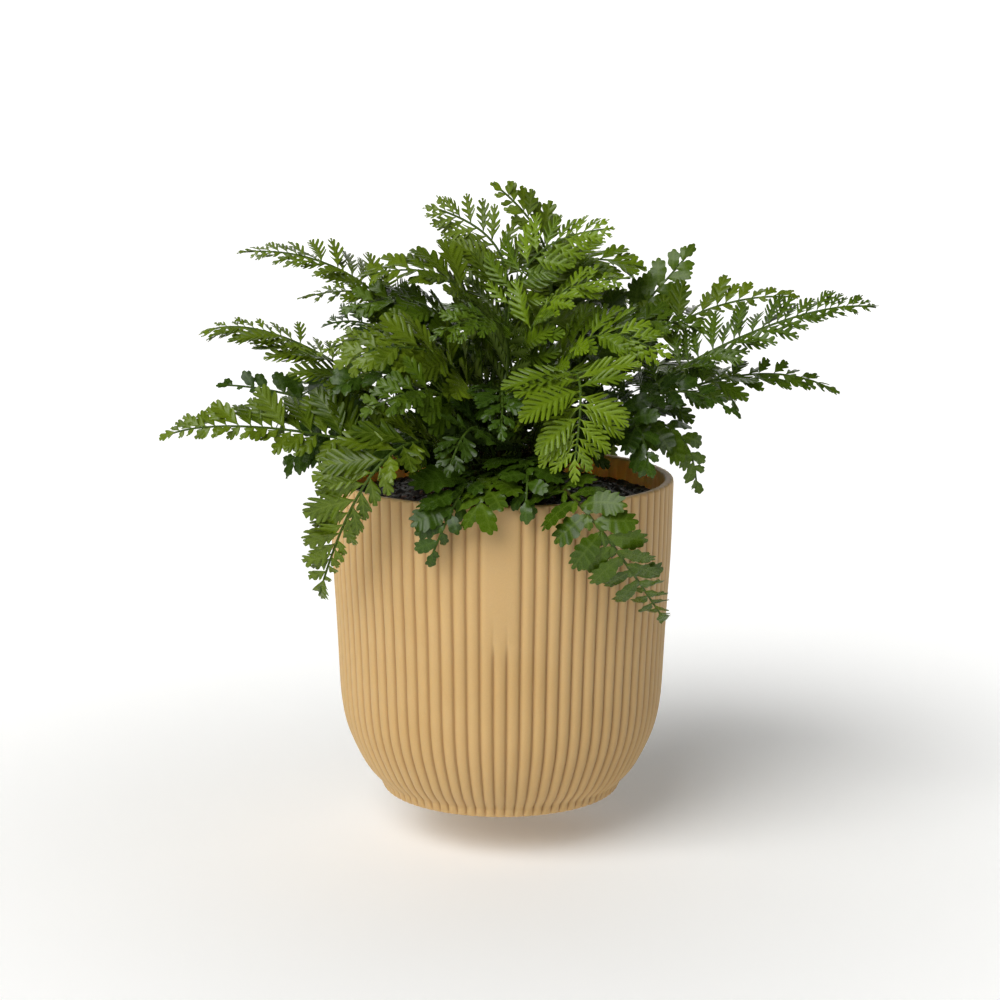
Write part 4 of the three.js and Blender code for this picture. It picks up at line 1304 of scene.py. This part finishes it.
@dataclass
class Crown:
    """The short scaly rootstock that the stems rise round, with two coiled young fronds."""

    radius: float = 4.6
    outline: tuple[Pair, ...] = ((116.5, 0.85), (117.5, 1.0), (127.0, 1.0), (129.6, 0.78), (131.2, 0.42))
    scaly: Pair = (123.0, 131.0)  # heights of its lowest and highest scales
    scales: int = 150
    seed: int = 5
    coils: tuple[Coil, ...] = (Coil(150.0, 3.6, 1.1, (-9.0, -12.0), (-2.4, -2.4)),
                               Coil(141.0, 2.8, 1.0, (7.0, 4.0), (2.6, 1.6)))
    coil_foot: float = 124.5  # height where their stalks start
    wound: float = 1.9 * math.pi  # how far a coil is wound
    slimmer: float = 0.62  # share of a coil's radius that it loses, and share of its stalk that is left

    def build(self) -> Made:
        """Makes the crown as one object."""
        rng = np.random.default_rng(self.seed)
        mesh = Mesh("scaly_crown")
        heights, shares = np.array(self.outline).T
        width = 2 * shares * self.radius
        side, face = (np.tile(way, (len(heights), 1)) for way in ([1, 0, 0], [0, 1, 0]))
        points, faces = tube(heights[:, None] * UP, side, face, width, width, 20)
        mesh.add(points, faces, 0, tint=0.1)
        for k in range(self.scales):
            share = rng.uniform() ** 0.7
            turn = math.radians(GOLDEN_TURN * k)
            out = np.array([math.cos(turn), math.sin(turn), 0.0])
            height = self.scaly[0] + (self.scaly[1] - self.scaly[0]) * share
            r = self.radius * (1.0 - 0.5 * share ** 3) - 0.3
            rib = unit(out * rng.uniform(0.1, 0.6) + UP)
            add_scale(mesh, out * r + UP * height, rib, out, rng.uniform(3, 6.5), rng.uniform(0, 0.8), 0)
        for coil in self.coils:
            self._coil(mesh, rng, coil)
        made = mesh.make([FernScales().make(), YoungCoil().make()])
        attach(made, "root")
        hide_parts("crown")
        return made

    def _coil(self, mesh: Mesh, rng: Rng, plan: Coil) -> None:
        """Adds one young frond: a stalk into a coil, felted with scales."""
        base = np.array([*plan.foot, self.coil_foot])
        top = np.array([*plan.lean, plan.neck])
        out = unit(np.array([*plan.lean, 0.0]))
        turns = np.linspace(0, self.wound, 9)
        shrink = plan.radius * (1 - self.slimmer * np.linspace(0, 1, 9))
        coil = (top + out * (plan.radius - shrink * np.cos(turns))[:, None]
                + UP * (shrink * np.sin(turns))[:, None])
        line = smooth_line(np.vstack([base, (base + top) / 2 + UP * 3, coil]), 6)
        along = unit(np.gradient(line, axis=0))
        side = np.tile(unit(np.cross(UP, out)), (len(line), 1))
        face = unit(np.cross(along, side))
        width = 2 * plan.stalk * np.linspace(1.0, self.slimmer, len(line))
        points, faces = tube(line, side, face, width, width * 0.95, 12)
        mesh.add(points, faces, 1, tint=0.5)
        for k in range(len(line)):
            for _ in range(3):
                turn = rng.uniform(0, FULL_TURN)
                normal = side[k] * math.cos(turn) + face[k] * math.sin(turn)
                add_scale(mesh, line[k] + normal * width[k] * 0.45, unit(along[k] + normal * 0.8), normal,
                          rng.uniform(1.0, 1.9), rng.uniform(0.3, 1), 0)


# ---------- plant ----------

F, L, B = Form
BRIGHT, LIGHT, OLIVE, MID, DARK, SHADE = Tone

# Each row: name, form, tone, crest, tip, reach, start and roll, and what departs from the habit.
# Seats and names are the model's; some stems bend away from the model's own, as on the real plant.
FRONDS = (
    FrondPlan("front_bright", F, BRIGHT, (27, -50, 179), (27, -74, 143), 31, 0.5, 15, splay=104,
              bias=-0.12, slant=-12, spread=0.75, early=0.2),
    FrondPlan("front_right_droop", B, MID, (18, -46, 137), (64, -46, 81), 18, 0.36, 57, splay=85,
              taper=2.2, end=0.55, slant=28, spread=0.92),
    FrondPlan("front_left_droop", L, OLIVE, (-23, -42, 148), (-70, -58, 93), 22, 0.36, -45, splay=62,
              bias=-0.3, taper=1.5, end=0.6),
    FrondPlan("front_left_big", L, OLIVE, (-28, -44, 186), (-62, -52, 182), 26, 0.34, -45),
    FrondPlan("left_long", L, OLIVE, (-80, -22, 151), (-133, -25, 149.5), 22, 0.3, -50, bias=-0.25,
              taper=1.2, spread=0.85),
    FrondPlan("right_long", F, MID, (78, -8, 179), (149, -8, 200), 19, 0.34, 40, bias=0.1, taper=2,
              slant=-25, spread=0.9),
    FrondPlan("left_second", F, OLIVE, (-56, -4, 169), (-121, 2, 187.5), 22, 0.34, -30, bias=0.3,
              slant=28),
    FrondPlan("left_round", B, DARK, (-86, 16, 160), (-116, 18, 164), 16, 0.4, -60, bias=-0.35,
              taper=1.2),
    FrondPlan("left_upper", F, OLIVE, (-54, 2, 206), (-105, 4, 220), 22, 0.38, -30, bias=-0.1, slant=18),
    FrondPlan("left_upper_back", F, OLIVE, (-52, 32, 199), (-84, 38, 198), 18, 0.4, -20),
    FrondPlan("left_dark_back", F, DARK, (-62, 50, 187), (-77, 60, 184), 22, 0.4, -45, bias=-0.4),
    FrondPlan("top_left", F, OLIVE, (-4, 8, 224), (-30, 13, 238), 23, 0.42, -75, bias=0.1, taper=2.6,
              slant=10, spread=1.25, early=0.05),
    FrondPlan("top_spire", L, OLIVE, (17, 6, 222), (-4, 2, 248), 18, 0.42, -60, bias=-0.2, spread=0.85),
    FrondPlan("top_right", F, LIGHT, (17, -8, 223), (43, -10, 231), 21, 0.6, 60, end=0.25, early=0.05),
    FrondPlan("upper_right_flat", L, LIGHT, (20, 18, 212), (58, 18, 213), 25, 0.5, 25, taper=2.6,
              end=0.5),
    FrondPlan("upper_left_flat", L, OLIVE, (-20, -12, 210), (-56, -14, 212), 24, 0.45, -22, bias=-0.2),
    FrondPlan("right_up_broad", B, MID, (56, 24, 195), (78, 28, 220), 20, 0.5, 60, splay=62),
    FrondPlan("right_upper", L, OLIVE, (80, 14, 195), (119, 12, 202), 15, 0.38, 40, bias=0.3, taper=2.2,
              slant=-15),
    FrondPlan("right_low", L, MID, (92, 4, 170), (136, 4, 164), 18, 0.36, 35, bias=-0.1, taper=1.5),
    FrondPlan("right_low_broad", B, DARK, (66, -24, 168), (94, -28, 158), 14, 0.4, 30),
    FrondPlan("right_droop", B, MID, (59, -22, 156), (78, -20, 129), 18, 0.4, 45, splay=60, bias=-0.1),
    FrondPlan("front_centre_low", B, MID, (0, -58, 140), (-14, -76, 123), 20, 0.36, 0, taper=3, end=0.6),
    FrondPlan("front_left_small", B, DARK, (-13, -64, 138), (-27, -74, 109), 20, 0.36, -20, splay=62,
              bias=-0.3),
    FrondPlan("left_low_dark", B, DARK, (-68, 0, 146), (-88, 0, 128), 22, 0.36, -50),
    FrondPlan("centre_left_fine", F, MID, (-2, -30, 196), (-26, -46, 192), 23, 0.4, -30),
    FrondPlan("centre_right_fine", F, LIGHT, (22, -26, 206), (50, -28, 213), 23, 0.4, 30, early=0.2),
    FrondPlan("front_left_lobed", L, MID, (-26, -56, 172), (-52, -66, 165), 22, 0.36, -45),
    FrondPlan("front_centre_dark", L, SHADE, (-10, -54, 158), (-20, -76, 143), 20, 0.36, -15),
    FrondPlan("front_right_arch", F, LIGHT, (34, -32, 190), (64, -46, 184), 24, 0.38, 40, early=0.2),
    FrondPlan("right_mid", B, DARK, (44, -40, 162), (57, -58, 140), 20, 0.4, 35, bias=-0.2),
    FrondPlan("right_back_broad", L, MID, (50, 6, 190), (82, 2, 188), 20, 0.4, 30),
    FrondPlan("left_mid_broad", B, DARK, (-44, -20, 174), (-68, -30, 166), 18, 0.4, -40),
    FrondPlan("centre_low_left", B, SHADE, (-36, -40, 152), (-52, -60, 142), 20, 0.36, -20),
    FrondPlan("centre_low_right", B, DARK, (10, -58, 145), (9, -77, 127), 18, 0.36, 10, taper=2.5,
              end=0.5),
    FrondPlan("centre_high_left", L, MID, (-32, -6, 200), (-62, -10, 198), 24, 0.4, -30),
    FrondPlan("centre_mid", L, DARK, (0, -50, 172), (0, -76, 158), 22, 0.36, 0),
    FrondPlan("left_inner", F, OLIVE, (-44, -26, 190), (-70, -34, 184), 18, 0.36, -35),
    FrondPlan("back_middle", F, MID, (-4, 62, 184), (-8, 122, 158), 25, 0.34, 0),
    FrondPlan("back_left", L, OLIVE, (-40, 58, 176), (-66, 106, 150), 25, 0.34, 10),
    FrondPlan("back_right", L, MID, (38, 56, 180), (62, 108, 156), 25, 0.34, -10),
    FrondPlan("back_left_side", B, DARK, (-60, 38, 158), (-98, 66, 134), 19, 0.36, 10),
    FrondPlan("back_right_side", L, MID, (62, 44, 168), (102, 74, 146), 22, 0.36, -10),
    FrondPlan("back_low_left", L, DARK, (-28, 66, 142), (-42, 82, 92), 21, 0.36, 0),
    FrondPlan("back_low_right", B, MID, (28, 66, 143), (44, 84, 96), 19, 0.36, 0),
    FrondPlan("back_upright", F, OLIVE, (-4, 32, 204), (-8, 68, 215), 22, 0.5, 0),
    FrondPlan("back_upright_left", L, MID, (-26, 40, 190), (-46, 72, 188), 24, 0.4, 0),
    FrondPlan("back_upright_right", L, OLIVE, (32, 38, 194), (52, 72, 194), 24, 0.4, 0),
)


# ---------- studio ----------

@dataclass
class Studio:
    """An opal light table, sunlight through a wide screen, and the camera at the photograph's angle."""

    eye: Point = (5.92, -948.75, 296.60)
    gaze: Point = (-0.00685, 0.98302, -0.18336)
    roll: float = 0.203  # degrees
    lens: float = 85.0
    sensor: float = 36.0
    sight: Pair = (0.05, 20.0)  # metres that the camera sees between
    sweep: tuple[Pair, ...] = ((-9000, 0), (7000, 0), (9000, 300), (9900, 1500), (10000, 9000))
    half_width: float = 9000.0  # of the table
    sky: str = "FFFFFF"
    sky_power: float = 0.07

    def build(self) -> None:
        """Makes the table, the lights, the world and the camera."""
        self._table()
        self._lamp("key", "SUN", (0, 0, 0), (0.60, 0.80, -0.88), energy=2.75, angle=math.radians(48.0))
        self._lamp("front", "AREA", (-500, -1500, 900), (500, 1500, -760), energy=4.0, size=900 * MM)
        self._world()
        self._camera()
        bpy.context.scene.view_settings.view_transform = "Standard"

    def _table(self) -> None:
        """Acrylic that runs from under the pot up into the background in one curve."""
        line = smooth_line(self.sweep, 6)
        points = np.array([[x, y, z] for y, z in line for x in (-self.half_width, self.half_width)])
        mesh = Mesh("light_table")
        mesh.add(points, [grid_faces(len(line), 2, closed=False)])
        mesh.make([OpalAcrylic().make()])

    @staticmethod
    def _lamp(name: str, kind: str, place: Point, aim: Point, **sizes: float) -> None:
        """Adds a lamp.

        Args:
            name: its name.
            kind: "SUN" for even light from one direction, "AREA" for a soft box.
            place: where it stands, in millimetres.
            aim: the direction that it shines in.
            sizes: its power and its width, or the angle that it fills of the sky.
        """
        lamp = bpy.data.lights.new(name, kind)
        for key, value in sizes.items():
            setattr(lamp, key, value)
        made = bpy.data.objects.new(name, lamp)
        made.location = Vector(place) * MM
        made.rotation_euler = Vector(aim).to_track_quat("-Z", "Y").to_euler()
        bpy.context.scene.collection.objects.link(made)

    def _world(self) -> None:
        """Even white light from all round."""
        world = bpy.data.worlds.new("daylight_tent")
        world.use_nodes = True
        tree = world.node_tree
        connect(tree, tree.nodes["Background"], {"Color": srgb(self.sky), "Strength": self.sky_power})
        bpy.context.scene.world = world

    def _camera(self) -> None:
        """Places the camera."""
        data = bpy.data.cameras.new("camera")
        data.lens = self.lens
        data.sensor_width = self.sensor
        data.clip_start, data.clip_end = self.sight
        camera = bpy.data.objects.new("camera", data)
        camera.location = Vector(self.eye) * MM
        turn = Vector(self.gaze).to_track_quat("-Z", "Y").to_matrix().to_4x4()
        camera.rotation_euler = (turn @ Matrix.Rotation(math.radians(self.roll), 4, "Z")).to_euler()
        bpy.context.scene.collection.objects.link(camera)
        bpy.context.scene.camera = camera


def main() -> None:
    """Builds every part in order."""
    logging.basicConfig(level=logging.INFO, format="%(name)s: %(message)s")
    pot, room = Pot(), Room()
    pieces = [pot.build(), SoilBed().build(pot), Crown().build()]
    # one copy of the leaf finish per tone; the copies carry painted light and shade besides the fronds' age
    leaves = {tone: SpleenwortLeaf(tone).make() for tone in Tone}
    stalk, scales = FernStalk().make(), FernScales("foot_scales").make()
    for number, plan in enumerate(FRONDS):
        pieces.append(Frond(plan, number, room).build(leaves[plan.tone], stalk, scales))
    for piece in pieces:
        LOG.info("%s: %d faces", piece.name, len(piece.data.polygons))
    Studio().build()


if __name__ == "__main__":
    main()
